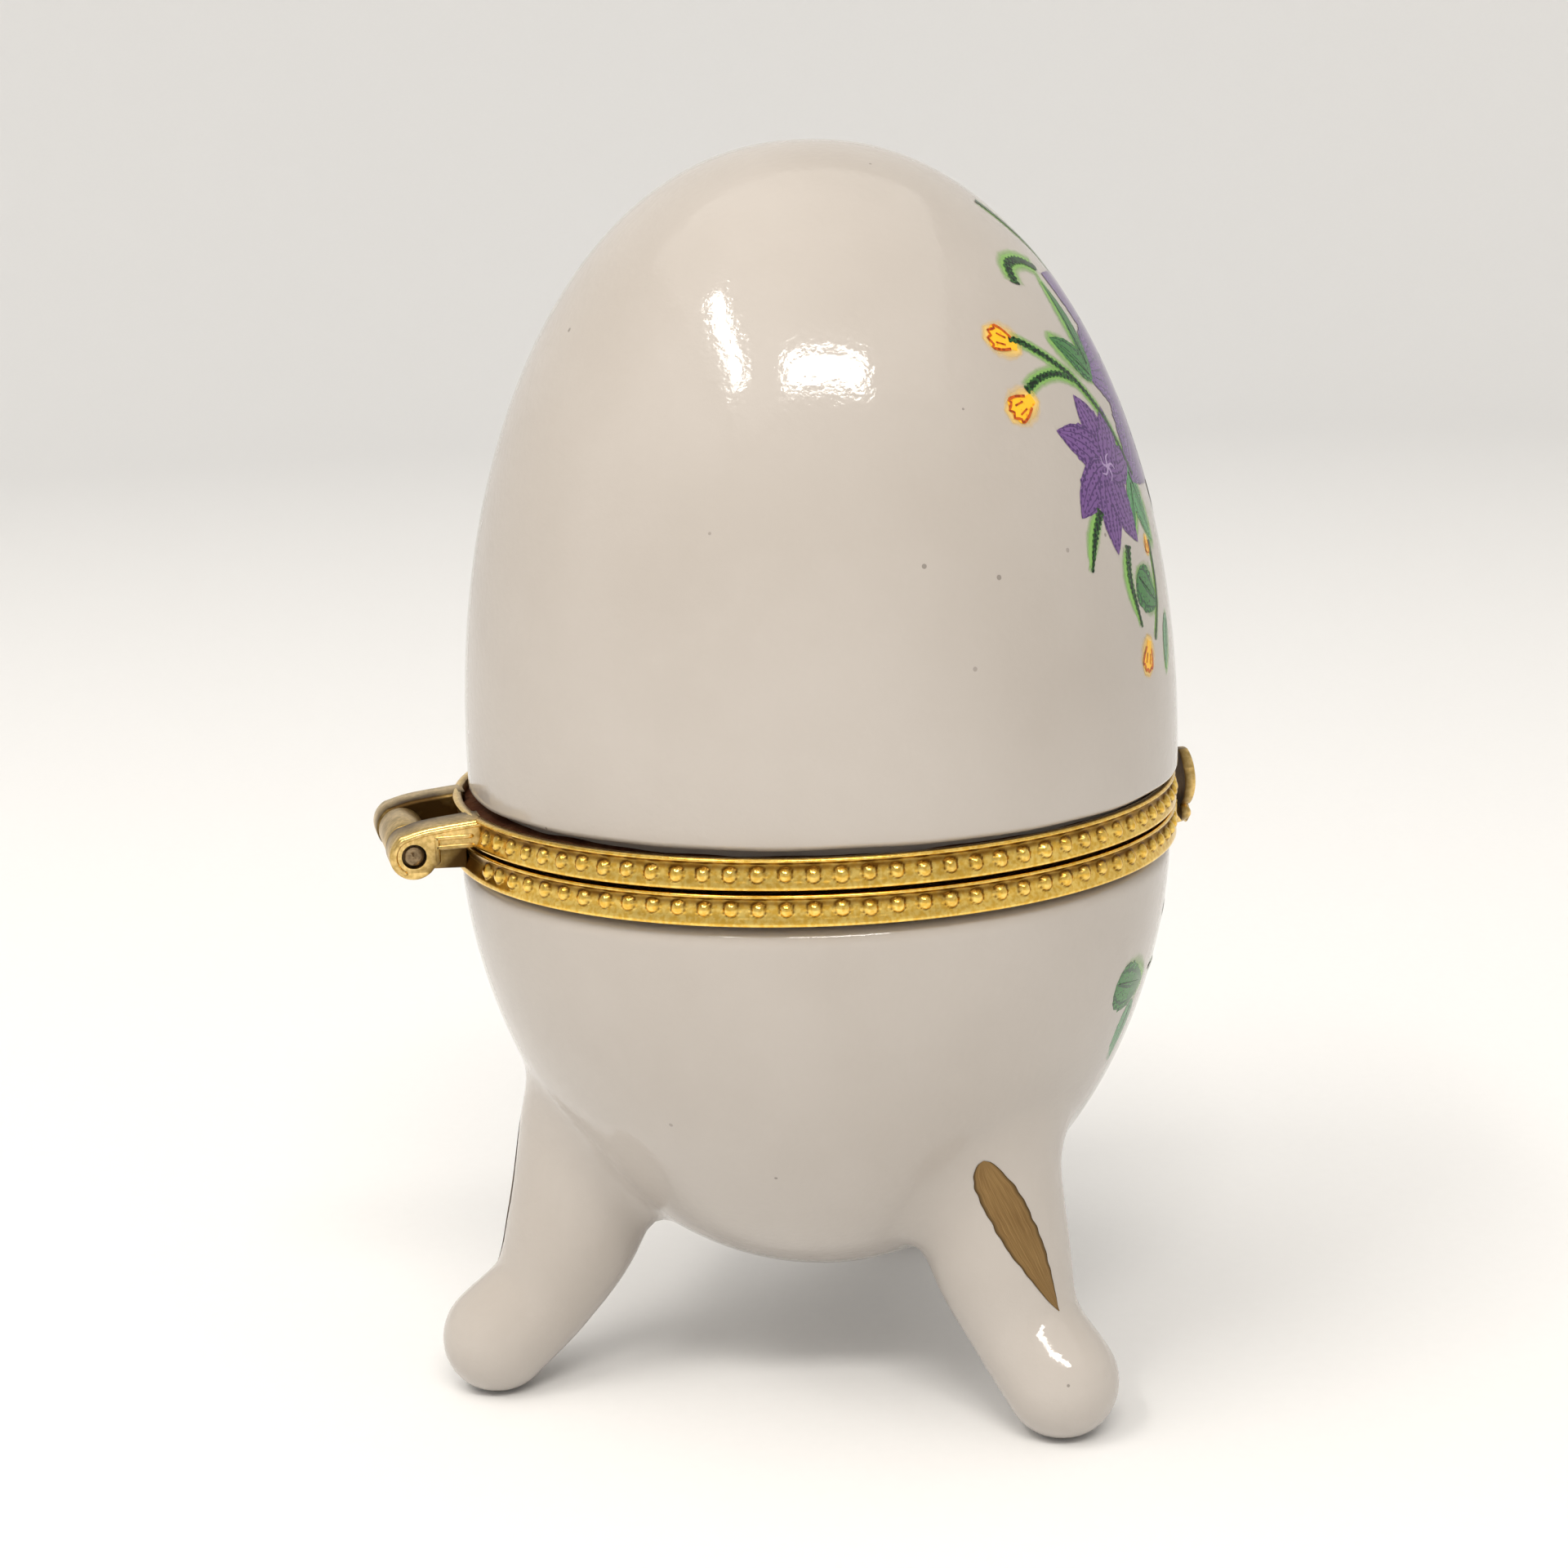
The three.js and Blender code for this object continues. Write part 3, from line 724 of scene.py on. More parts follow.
@dataclass(frozen=True)
class Ink:
    """A printed colour under the glaze, screened into dots.

    Attributes:
        name: the material's name.
        colour: the open tone.
        deep: the dots' and veins' colour.
        tone: size of the dots in the middle of a shape, 0 to about 0.7.
        rim_tone: size of the dots at its edge.
        veins: how many veins run along a shape; 0 for none.
        soft: whether the shape fades out towards its edge.
    """

    name: str
    colour: Rgb
    deep: Rgb
    tone: float
    rim_tone: float
    veins: float = 0.0
    soft: bool = False

    def material(self, effects: SharedEffects) -> bpy.types.Material:
        """Builds the finish, whose u runs along a shape and v across it.

        Args:
            effects: the shared node groups.

        Returns:
            The material.
        """
        material, nodes, shader = new_material(self.name)
        uv = nodes.add("ShaderNodeTexCoord").outputs["UV"]
        axes = nodes.add("ShaderNodeSeparateXYZ", {0: uv}).outputs
        off_centre = self._from_middle(nodes, axes[1])
        shading = {0: off_centre, 1: 0.45, 2: 1.0, 3: self.tone, 4: self.rim_tone}
        level = nodes.add("ShaderNodeMapRange", shading).outputs[0]
        if self.veins:
            wave = nodes.maths("COSINE", nodes.maths("MULTIPLY", off_centre, math.pi * self.veins))
            lines = nodes.ramp(wave, [(0.72, 0.0), (0.95, 1.0)])
            level = nodes.maths("ADD", level, nodes.maths("MULTIPLY", lines, 0.5))
        dots = effects.use(nodes, effects.screen, Scale=2700.0, Tone=level).outputs["Mask"]
        mottle = effects.use(nodes, effects.mottle, Scale=260.0, Fine_Scale=1500.0).outputs
        faded = nodes.mix(nodes.maths("MULTIPLY", mottle["Broad"], 0.5), rgba(self.colour), rgba(self.deep))
        nodes.tree.links.new(nodes.mix(dots, faded, rgba(self.deep)), shader.inputs["Base Color"])
        if self.soft:
            ends = nodes.maths("POWER", self._from_middle(nodes, axes[0]), 3.0)
            edge = nodes.maths("MAXIMUM", off_centre, ends)
            fade = nodes.ramp(edge, [(0.35, 0.9), (0.98, 0.0)])
            nodes.tree.links.new(fade, shader.inputs["Alpha"])
        shader.inputs["Roughness"].default_value = 0.12
        shader.inputs["Specular IOR Level"].default_value = 0.25
        return material

    @staticmethod
    def _from_middle(nodes: Nodes, axis: Socket) -> Socket:
        """Distance from the middle of a 0 to 1 axis, 0 in the middle and 1 at its ends."""
        return nodes.maths("MULTIPLY", nodes.maths("ABSOLUTE", nodes.maths("SUBTRACT", axis, 0.5)), 2.0)


@dataclass(frozen=True)
class StudioFloor:
    """Plain pale paper under the box."""

    colour: Rgb = (0.84, 0.845, 0.85)
    fleck: float = 0.02

    def material(self, effects: SharedEffects) -> bpy.types.Material:
        """Builds the finish.

        Args:
            effects: the shared node groups.

        Returns:
            The material.
        """
        material, nodes, shader = new_material("pale_paper")
        grain = effects.use(nodes, effects.mottle, Scale=30.0, Fine_Scale=900.0).outputs["Fine"]
        lighter = tuple(min(1.0, c + self.fleck) for c in self.colour)
        nodes.tree.links.new(nodes.mix(grain, rgba(self.colour), rgba(lighter)), shader.inputs["Base Color"])
        shader.inputs["Roughness"].default_value = 0.9
        return material


class Finishes:
    """Every material of the box, built once."""

    def __init__(self) -> None:
        """Builds the shared groups and then the materials."""
        effects = SharedEffects()
        self.glaze = Glaze().material(effects)
        self.brass = CastBrass(
            name="bright_brass",
            bright=(0.98, 0.70, 0.19),
            middle=(0.84, 0.505, 0.080),
            painted_shade_and_tarnish=(0.13, 0.056, 0.007),
            roughness=0.13,
            tarnish=0.2,
            relief=0.05,
        ).material(effects)
        self.dull_brass = CastBrass(
            name="dull_brass",
            bright=(0.95, 0.68, 0.27),
            middle=(0.70, 0.48, 0.16),
            painted_shade_and_tarnish=(0.070, 0.038, 0.012),
            roughness=0.2,
            tarnish=0.3,
            relief=0.25,
        ).material(effects)
        self.peened = CastBrass(
            name="peened_pin",
            bright=(0.52, 0.38, 0.22),
            middle=(0.30, 0.21, 0.12),
            painted_shade_and_tarnish=(0.04, 0.03, 0.02),
            roughness=0.36,
            tarnish=0.5,
            relief=0.6,
        ).material(effects)
        self.putty = Putty().material(effects)
        self.gilt = Gilding().material()
        printed = {
            Tint.PURPLE: Ink("violet_ink", (0.205, 0.100, 0.300), (0.065, 0.028, 0.120), 0.34, 0.50, 5.0),
            Tint.LILAC: Ink("lilac_ink", (0.185, 0.100, 0.290), (0.065, 0.030, 0.130), 0.30, 0.45, 7.0),
            Tint.CURL: Ink("pale_curl_ink", (0.42, 0.31, 0.52), (0.28, 0.19, 0.40), 0.2, 0.3),
            Tint.LEAF: Ink("leaf_ink", (0.055, 0.215, 0.050), (0.008, 0.070, 0.018), 0.25, 0.5, 3.0),
            Tint.PALE_LEAF: Ink("pale_leaf_ink", (0.085, 0.30, 0.105), (0.02, 0.14, 0.04), 0.25, 0.45, 3.0),
            Tint.STEM: Ink("stem_ink", (0.030, 0.110, 0.022), (0.004, 0.018, 0.006), 0.55, 0.2),
            Tint.YELLOW: Ink("yellow_ink", (0.93, 0.57, 0.025), (0.85, 0.30, 0.01), 0.12, 0.42),
            Tint.RUST: Ink("rust_ink", (0.60, 0.115, 0.010), (0.28, 0.04, 0.005), 0.45, 0.3),
            Tint.HALO: Ink("green_halo", (0.25, 0.50, 0.12), (0.25, 0.50, 0.12), 0.0, 0.0, soft=True),
            Tint.GLOW: Ink("yellow_halo", (0.90, 0.60, 0.17), (0.90, 0.60, 0.17), 0.0, 0.0, soft=True),
        }
        self.inks = {tint: ink.material(effects) for tint, ink in printed.items()}
        self.paper = StudioFloor().material(effects)


class Tint(Enum):
    """The printed colours of the transfers."""

    PURPLE = "purple"
    LILAC = "lilac"
    CURL = "curl"
    LEAF = "leaf"
    PALE_LEAF = "pale_leaf"
    STEM = "stem"
    YELLOW = "yellow"
    RUST = "rust"
    HALO = "halo"
    GLOW = "glow"


# ---- porcelain forms ----------------------------------------------------------------------------------


@dataclass(frozen=True)
class Dome:
    """A superellipse form of revolution: the outside or the inside of a shell.

    Attributes:
        centre_y: place of its axis.
        radius: widest radius.
        widest: height of the widest level.
        rise: from there to the pole; negative for a bowl.
        radius_power: squareness of the radius.
        height_power: squareness of the height.
    """

    centre_y: float
    radius: float
    widest: float
    rise: float
    radius_power: float
    height_power: float

    def radius_at(self, height: np.ndarray | float) -> np.ndarray:
        """Radius at a height, which stays at the widest on the open side of the widest level."""
        level = np.clip((np.asarray(height, float) - self.widest) / self.rise, 0, 1)
        return self.radius * (1 - level**self.height_power) ** (1 / self.radius_power)

    def profile(self, steps: int) -> list[Point]:
        """Radius and height of points from the widest level to the pole.

        Args:
            steps: how many steps there are between them.

        Returns:
            The points, in order.
        """
        levels = np.sin(np.linspace(0, math.pi / 2, steps + 1))
        radii = self.radius_at(self.widest + self.rise * levels)
        radii[-1] = 0.0
        return list(zip(radii.tolist(), (self.widest + self.rise * levels).tolist()))

    def distance(self, points: np.ndarray) -> np.ndarray:
        """Signed distance from the form, close to it, negative inside.

        Args:
            points: rows of x, y, z.

        Returns:
            The distance at each point.
        """
        out = np.hypot(points[:, 0], points[:, 1] - self.centre_y)
        level = np.maximum((points[:, 2] - self.widest) / self.rise, 0)
        m, n = self.radius_power, self.height_power
        value = (out / self.radius) ** m + level**n
        slope_out = m / self.radius * (out / self.radius) ** (m - 1)
        slope_up = n / abs(self.rise) * level ** (n - 1)
        bend = np.maximum(np.hypot(slope_out, slope_up), 0.35 * m / self.radius)
        return (value - 1) / bend


@dataclass(frozen=True)
class Skin:
    """Places thin printed shapes on a dome by angle and distance along the surface."""

    dome: Dome

    def _table(self) -> tuple[np.ndarray, np.ndarray]:
        """Heights along a meridian and the distance along it to each.

        Returns:
            The heights and the distances.
        """
        levels = np.sin(np.linspace(0, math.pi / 2, 400))
        heights = self.dome.widest + self.dome.rise * levels
        steps = np.hypot(np.diff(self.dome.radius_at(heights)), np.diff(heights))
        return heights, np.concatenate([[0], np.cumsum(steps)])

    def points(
        self, angle: float, height: float, across: np.ndarray, up: np.ndarray, lift: float
    ) -> np.ndarray:
        """Turns flat offsets from an anchor into points just off the surface.

        Args:
            angle: the anchor's angle round the box.
            height: the anchor's height.
            across: offsets towards growing angles.
            up: offsets upwards along the surface.
            lift: distance off the surface.

        Returns:
            Rows of x, y, z.
        """
        heights, along = self._table()
        sign = 1 if self.dome.rise > 0 else -1
        start = np.interp(sign * height, sign * heights, along)
        level = np.interp(start + sign * up, along, heights)
        radius = self.dome.radius_at(level)
        turn = math.radians(angle) + across / np.maximum(radius, 1.0)
        step = 0.02
        slope = (self.dome.radius_at(level + step) - self.dome.radius_at(level - step)) / (2 * step)
        size = np.hypot(1, slope)
        out = radius + lift / size
        z = level - lift * slope / size
        return np.stack([-out * np.sin(turn), self.dome.centre_y - out * np.cos(turn), z], 1)


def chain_distance(points: np.ndarray, centres: np.ndarray, radii: np.ndarray) -> np.ndarray:
    """Signed distance from a smooth chain of spheres.

    Args:
        points: rows of x, y, z.
        centres: the chain's centre line.
        radii: its radius at each centre.

    Returns:
        The distance at each point, negative inside.
    """
    gaps = np.linalg.norm(points[:, None, :] - centres[None, :, :], axis=2) - radii[None, :]
    near = np.clip(gaps.argmin(1), 1, len(centres) - 2)
    rows = np.arange(len(points))
    before, at, after = gaps[rows, near - 1], gaps[rows, near], gaps[rows, near + 1]
    bend = np.maximum(after - 2 * at + before, 1e-9)
    slide = np.clip((before - after) / (2 * bend), -1, 1)
    return at + slide * (after - before) / 2 + slide**2 * bend / 2


def soft_least(first: np.ndarray, second: np.ndarray, blend: float) -> np.ndarray:
    """The lesser of two distances, with a fillet where they meet."""
    share = np.clip(0.5 + 0.5 * (second - first) / blend, 0, 1)
    return second + (first - second) * share - blend * share * (1 - share)


def soft_most(first: np.ndarray, second: np.ndarray, blend: float) -> np.ndarray:
    """The greater of two distances, with a rounded edge where they meet."""
    return -soft_least(-first, -second, blend)


def slope_of(form: Form, points: np.ndarray) -> np.ndarray:
    """The unit direction in which a form's distance grows.

    Args:
        form: signed distance of rows of points.
        points: where to measure.

    Returns:
        One row for each point.
    """
    step = 0.05
    parts = [form(points + step * axis) - form(points - step * axis) for axis in np.eye(3)]
    slope = np.stack(parts, 1)
    return slope / np.maximum(np.linalg.norm(slope, axis=1, keepdims=True), 1e-9)


def settle(form: Form, points: np.ndarray, turns: int = 4) -> np.ndarray:
    """Moves points onto a form's surface.

    Args:
        form: signed distance of rows of points.
        points: the points to move.
        turns: how many times each is moved.

    Returns:
        The moved points.
    """
    longest = 0.6
    for _ in range(turns):
        points = points - slope_of(form, points) * np.clip(form(points), -longest, longest)[:, None]
    return points


def shelled(form: Form, axes: Sequence[np.ndarray]) -> Surface:
    """Meshes the surface where a form's distance is zero, one vertex to each cell that it crosses.

    Args:
        form: signed distance of rows of points, negative inside.
        axes: the grid's places along X, Y and Z.

    Returns:
        A closed surface of four-sided faces with exact normals.
    """
    shape = tuple(len(axis) for axis in axes)
    value = np.empty(shape)
    for k, z in enumerate(axes[2]):
        x, y = np.meshgrid(axes[0], axes[1], indexing="ij")
        value[:, :, k] = form(np.stack([x.ravel(), y.ravel(), np.full(x.size, z)], 1)).reshape(x.shape)
    inside = value < 0
    corners = [(i, j, k) for i in (0, 1) for j in (0, 1) for k in (0, 1)]
    cells = tuple(n - 1 for n in shape)

    def view(array: np.ndarray, i: int, j: int, k: int) -> np.ndarray:
        """The array's values at one corner of every cell."""
        return array[i : i + cells[0], j : j + cells[1], k : k + cells[2]]

    filled = sum(view(inside, *corner).astype(int) for corner in corners)
    crossed = (filled > 0) & (filled < 8)
    number = np.full(cells, -1)
    number[crossed] = np.arange(crossed.sum())
    places = np.argwhere(crossed)
    points = np.stack([(axes[n][places[:, n]] + axes[n][places[:, n] + 1]) / 2 for n in range(3)], 1)
    points = settle(form, points)
    faces = []
    for axis in range(3):
        ends = [0, 0, 0]
        ends[axis] = 1
        span = [slice(1, n - 1) for n in shape]
        span[axis] = slice(0, shape[axis] - 1)
        ahead = [slice(s.start + e, s.stop + e) for s, e in zip(span, ends)]
        first, second = inside[tuple(span)], inside[tuple(ahead)]
        for flip, change in ((False, first & ~second), (True, ~first & second)):
            at = np.argwhere(change) + [s.start for s in span]
            u, v = [n for n in range(3) if n != axis]
            quad = []
            for du, dv in ((0, 0), (-1, 0), (-1, -1), (0, -1)):
                where = at.copy()
                where[:, u] += du
                where[:, v] += dv
                quad.append(number[tuple(where.T)])
            quads = np.stack(quad, 1)
            if flip != (axis == 1):
                quads = quads[:, ::-1]
            faces += quads.tolist()
    return Surface(points, faces, normals=slope_of(form, points))


@dataclass(frozen=True)
class Leg:
    """One leg of the base: a bent round bar with a kicked-out foot.

    Attributes:
        turn: its angle round the box.
        splay: scales how far out it stands.
        stroke_turn: which way the gilt stroke's top and tail face, in degrees from straight out.
        stations: distance out, height and radius along its centre line.
    """

    turn: float
    splay: float
    stroke_turn: Point
    stations: tuple[Place, ...] = (
        (19.2, 21.9, 6.3),
        (21.1, 14.2, 5.8),
        (24.0, 8.3, 4.6),
        (28.2, 4.35, 4.6),
    )

    def chain(self, axis_y: float) -> tuple[np.ndarray, np.ndarray]:
        """The leg as a chain of spheres.

        Args:
            axis_y: place of the bowl's axis.

        Returns:
            The spheres' centres and radii.
        """
        line = self._spread()
        a = math.radians(self.turn)
        out = line[:, 0] * self.splay
        centres = np.stack([-out * math.sin(a), axis_y - out * math.cos(a), line[:, 1]], 1)
        return centres, line[:, 2]

    def _spread(self) -> np.ndarray:
        """The stations, run through smoothly: rows of distance out, height and radius."""
        per_span = 24
        middle = smooth_line([(out, up) for out, up, _ in self.stations], per_span)
        girth = smooth_line([(i, radius) for i, (_, _, radius) in enumerate(self.stations)], per_span)
        return np.array([(out, up, radius) for (out, up), (_, radius) in zip(middle, girth)])


@dataclass
class BaseCasting:
    """The bowl and its three legs, one casting.

    Attributes:
        layout: places read from the frame.
        finishes: the materials.
    """

    layout: Layout
    finishes: Finishes
    widest_drop: float = 1.8
    depth: float = 37.1
    wall: float = 3.2
    radius_power: float = 2.0
    height_power: float = 1.88
    unevenness: float = 0.05
    shoulder_drop: float = 3.0
    shoulder_round: float = 1.5
    neck_clearance: float = 1.1
    neck_depth: float = 9.0
    rim_drop: float = 1.45
    fillet: float = 2.8
    cell: float = 0.62
    stroke_top: float = 23.4
    stroke_length: float = 13.2
    stroke_width: float = 4.7
    legs: tuple[Leg, ...] = (
        Leg(180, 1.02, (24.0, 14.0)),
        Leg(60, 0.935, (46.0, 4.0)),
        Leg(-60, 0.935, (38.0, 2.0)),
    )

    def outside(self) -> Dome:
        """The bowl's outer form."""
        place, widest = self.layout, self.layout.seam - self.widest_drop
        powers = self.radius_power, self.height_power
        return Dome(place.axis_y, place.bowl_radius, widest, -self.depth, *powers)

    def inside(self) -> Dome:
        """The bowl's inner form."""
        outer = self.outside()
        return replace(outer, radius=outer.radius - self.wall, rise=outer.rise + self.wall)

    def form(self, points: np.ndarray) -> np.ndarray:
        """Signed distance of the whole casting.

        Args:
            points: rows of x, y, z.

        Returns:
            The distance at each point, negative inside the porcelain.
        """
        place = self.layout
        legs_below, leg_reach, far = 34, 26, 99.0
        rim_round, mouth_round, foot_round = 0.4, 0.6, 0.5
        height = points[:, 2]
        out = np.hypot(points[:, 0], points[:, 1] - place.axis_y)
        turn = np.arctan2(points[:, 1] - place.axis_y, points[:, 0])
        body = self.outside().distance(points) + self.unevenness * ripple(turn + height / 25, 3, (2, 3, 5))
        legs = np.full(len(points), far)
        for leg in self.legs:
            centres, radii = leg.chain(place.axis_y)
            gap = np.linalg.norm(points - centres[len(centres) // 2], axis=1)
            near = (height < legs_below) & (gap < leg_reach)
            if near.any():
                legs[near] = np.minimum(legs[near], chain_distance(points[near], centres, radii))
        body = soft_least(body, legs, self.fillet)
        body = soft_most(body, height - (place.seam - self.shoulder_drop), self.shoulder_round)
        neck_side, neck_top = out - (place.bore - self.neck_clearance), height - (place.seam - self.rim_drop)
        neck = np.maximum(soft_most(neck_side, neck_top, rim_round), place.seam - self.neck_depth - height)
        whole = soft_most(np.minimum(body, neck), -self.inside().distance(points), mouth_round)
        return soft_most(whole, -height, foot_round)

    def build(self) -> None:
        """Makes the casting and the gilt strokes on its legs."""
        margin, fine_depth, fine_cell = 1.5, 6.5, self.cell / 3
        box_low, box_high = (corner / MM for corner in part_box("base_shell"))
        level = [np.arange(a - margin, b + margin, self.cell) for a, b in zip(box_low, box_high)]
        fine = np.arange(self.layout.seam - fine_depth, self.layout.seam, fine_cell)
        level[2] = np.concatenate([level[2][level[2] < fine[0] - fine_cell], fine])
        shell = shelled(self.form, level)
        piece = shell.object("base_porcelain", self.finishes.glaze, 180)
        place(piece, Body.BASE, Slot.PORCELAIN, "base_shell")
        strokes = joined([self._stroke(leg, seed) for seed, leg in enumerate(self.legs)])
        place(strokes.object("leg_gilding", self.finishes.gilt), Body.BASE, Slot.PORCELAIN)

    def _stroke(self, leg: Leg, seed: int) -> Surface:
        """A leaf-shaped brush stroke down a leg's outer face.

        Args:
            leg: the leg that it lies on.
            seed: varies the hand-painted edge.

        Returns:
            The stroke, a hair above the glaze.
        """
        raggedness, least_width, lift = 0.06, 0.05, 0.04
        along, across = np.meshgrid(np.linspace(0, 1, 60), np.linspace(-1, 1, 13), indexing="ij")
        width = self.stroke_width * along**0.55 * (1 - along) ** 0.95
        width = np.maximum(width * (1 + raggedness * ripple(along * 6.3, seed, (3, 7, 11))), least_width)
        height = self.stroke_top - self.stroke_length * along
        centres, radii = leg.chain(self.layout.axis_y)
        order = np.argsort(centres[:, 2])
        levels = centres[order, 2]
        x, y, radius = (np.interp(height, levels, v[order]) for v in (centres[:, 0], centres[:, 1], radii))
        start, end = leg.stroke_turn
        facing = np.radians(leg.turn + start + (end - start) * along) + across * width / radius
        x = x - np.sin(facing) * radius
        y = y - np.cos(facing) * radius
        points = settle(self.form, np.stack([x.ravel(), y.ravel(), height.ravel()], 1), 12)
        points += lift * slope_of(self.form, points)
        rows, columns = along.shape
        faces = [
            [i * columns + j, i * columns + j + 1, (i + 1) * columns + j + 1, (i + 1) * columns + j]
            for i in range(rows - 1)
            for j in range(columns - 1)
        ]
        uv = np.stack([along.ravel(), (across.ravel() + 1) / 2], 1)
        return facing_out(Surface(points, faces, uv=uv), self.form)


def facing_out(surface: Surface, form: Form) -> Surface:
    """Turns a surface's faces over if they look into the form that it lies on.

    Args:
        surface: the thin surface.
        form: signed distance of the form under it.

    Returns:
        The surface, facing outwards.
    """
    face = surface.faces[len(surface.faces) // 2]
    a, b, c = (surface.points[i] for i in face[:3])
    normal = np.cross(b - a, c - a)
    if normal @ slope_of(form, a[None, :])[0] < 0:
        surface.faces = [list(reversed(f)) for f in surface.faces]
    return surface


@dataclass
class LidCasting:
    """The lid's dome.

    Attributes:
        layout: places read from the frame.
        finishes: the materials.
    """

    layout: Layout
    finishes: Finishes
    widest_rise: float = 5.4
    wall: float = 3.2
    radius_power: float = 2.14
    height_power: float = 2.07
    shoulder_rise: float = 2.84
    shoulder_round: float = 0.55
    neck_clearance: float = 1.1
    rim_rise: float = 1.45
    edge_sway: float = 0.1
    swell: float = 0.0012

    def outside(self) -> Dome:
        """The lid's outer form."""
        place, widest = self.layout, self.layout.seam + self.widest_rise
        rise = place.lid_top - widest
        return Dome(place.lid_y, place.lid_radius, widest, rise, self.radius_power, self.height_power)

    def inside(self) -> Dome:
        """The lid's inner form."""
        outer = self.outside()
        return replace(outer, radius=outer.radius - self.wall, rise=outer.rise - self.wall)

    def build(self) -> None:
        """Makes the dome with a slightly uneven lower edge."""
        outer, inner = self.outside(), self.inside()
        seam = self.layout.seam
        shoulder, rim, bend = seam + self.shoulder_rise, seam + self.rim_rise, self.shoulder_round
        neck = self.layout.bore - self.neck_clearance
        turns = [math.pi / 2 * k / 7 for k in range(8)]
        edge = [
            (outer.radius - bend * (1 - math.sin(a)), shoulder + bend * (1 - math.cos(a)))
            for a in turns
        ]
        climb = [(outer.radius, z) for z in np.linspace(shoulder + bend, outer.widest, 4)[1:-1]]
        mouth_bevel, neck_bevel = 0.4, 0.3
        profile = inner.profile(46)[::-1]
        profile += [(inner.radius, rim + mouth_bevel), (inner.radius + mouth_bevel, rim)]
        profile += [(neck - neck_bevel, rim), (neck, rim + neck_bevel), (neck, shoulder)]
        profile += [*edge, *climb, *outer.profile(64)]
        shell = revolved(profile, 200, self.layout.lid_y)
        points = shell.points
        turn = np.arctan2(points[:, 1] - self.layout.lid_y, points[:, 0])
        near_edge = np.exp(-(((points[:, 2] - shoulder) / 0.9) ** 2))
        outside = np.hypot(points[:, 0], points[:, 1] - self.layout.lid_y) > neck + 0.2
        points[:, 2] += self.edge_sway * near_edge * outside * ripple(turn, 5, (3, 7, 12, 19))
        swell = 1 + self.swell * ripple(turn + points[:, 2] / 30, 8, (2, 3, 5))
        points[:, 0] *= swell
        points[:, 1] = self.layout.lid_y + (points[:, 1] - self.layout.lid_y) * swell
        place(shell.object("lid_porcelain", self.finishes.glaze, 60), Body.LID, Slot.PORCELAIN, "lid_shell")


# ---- bezels -------------------------------------------------------------------------------------------


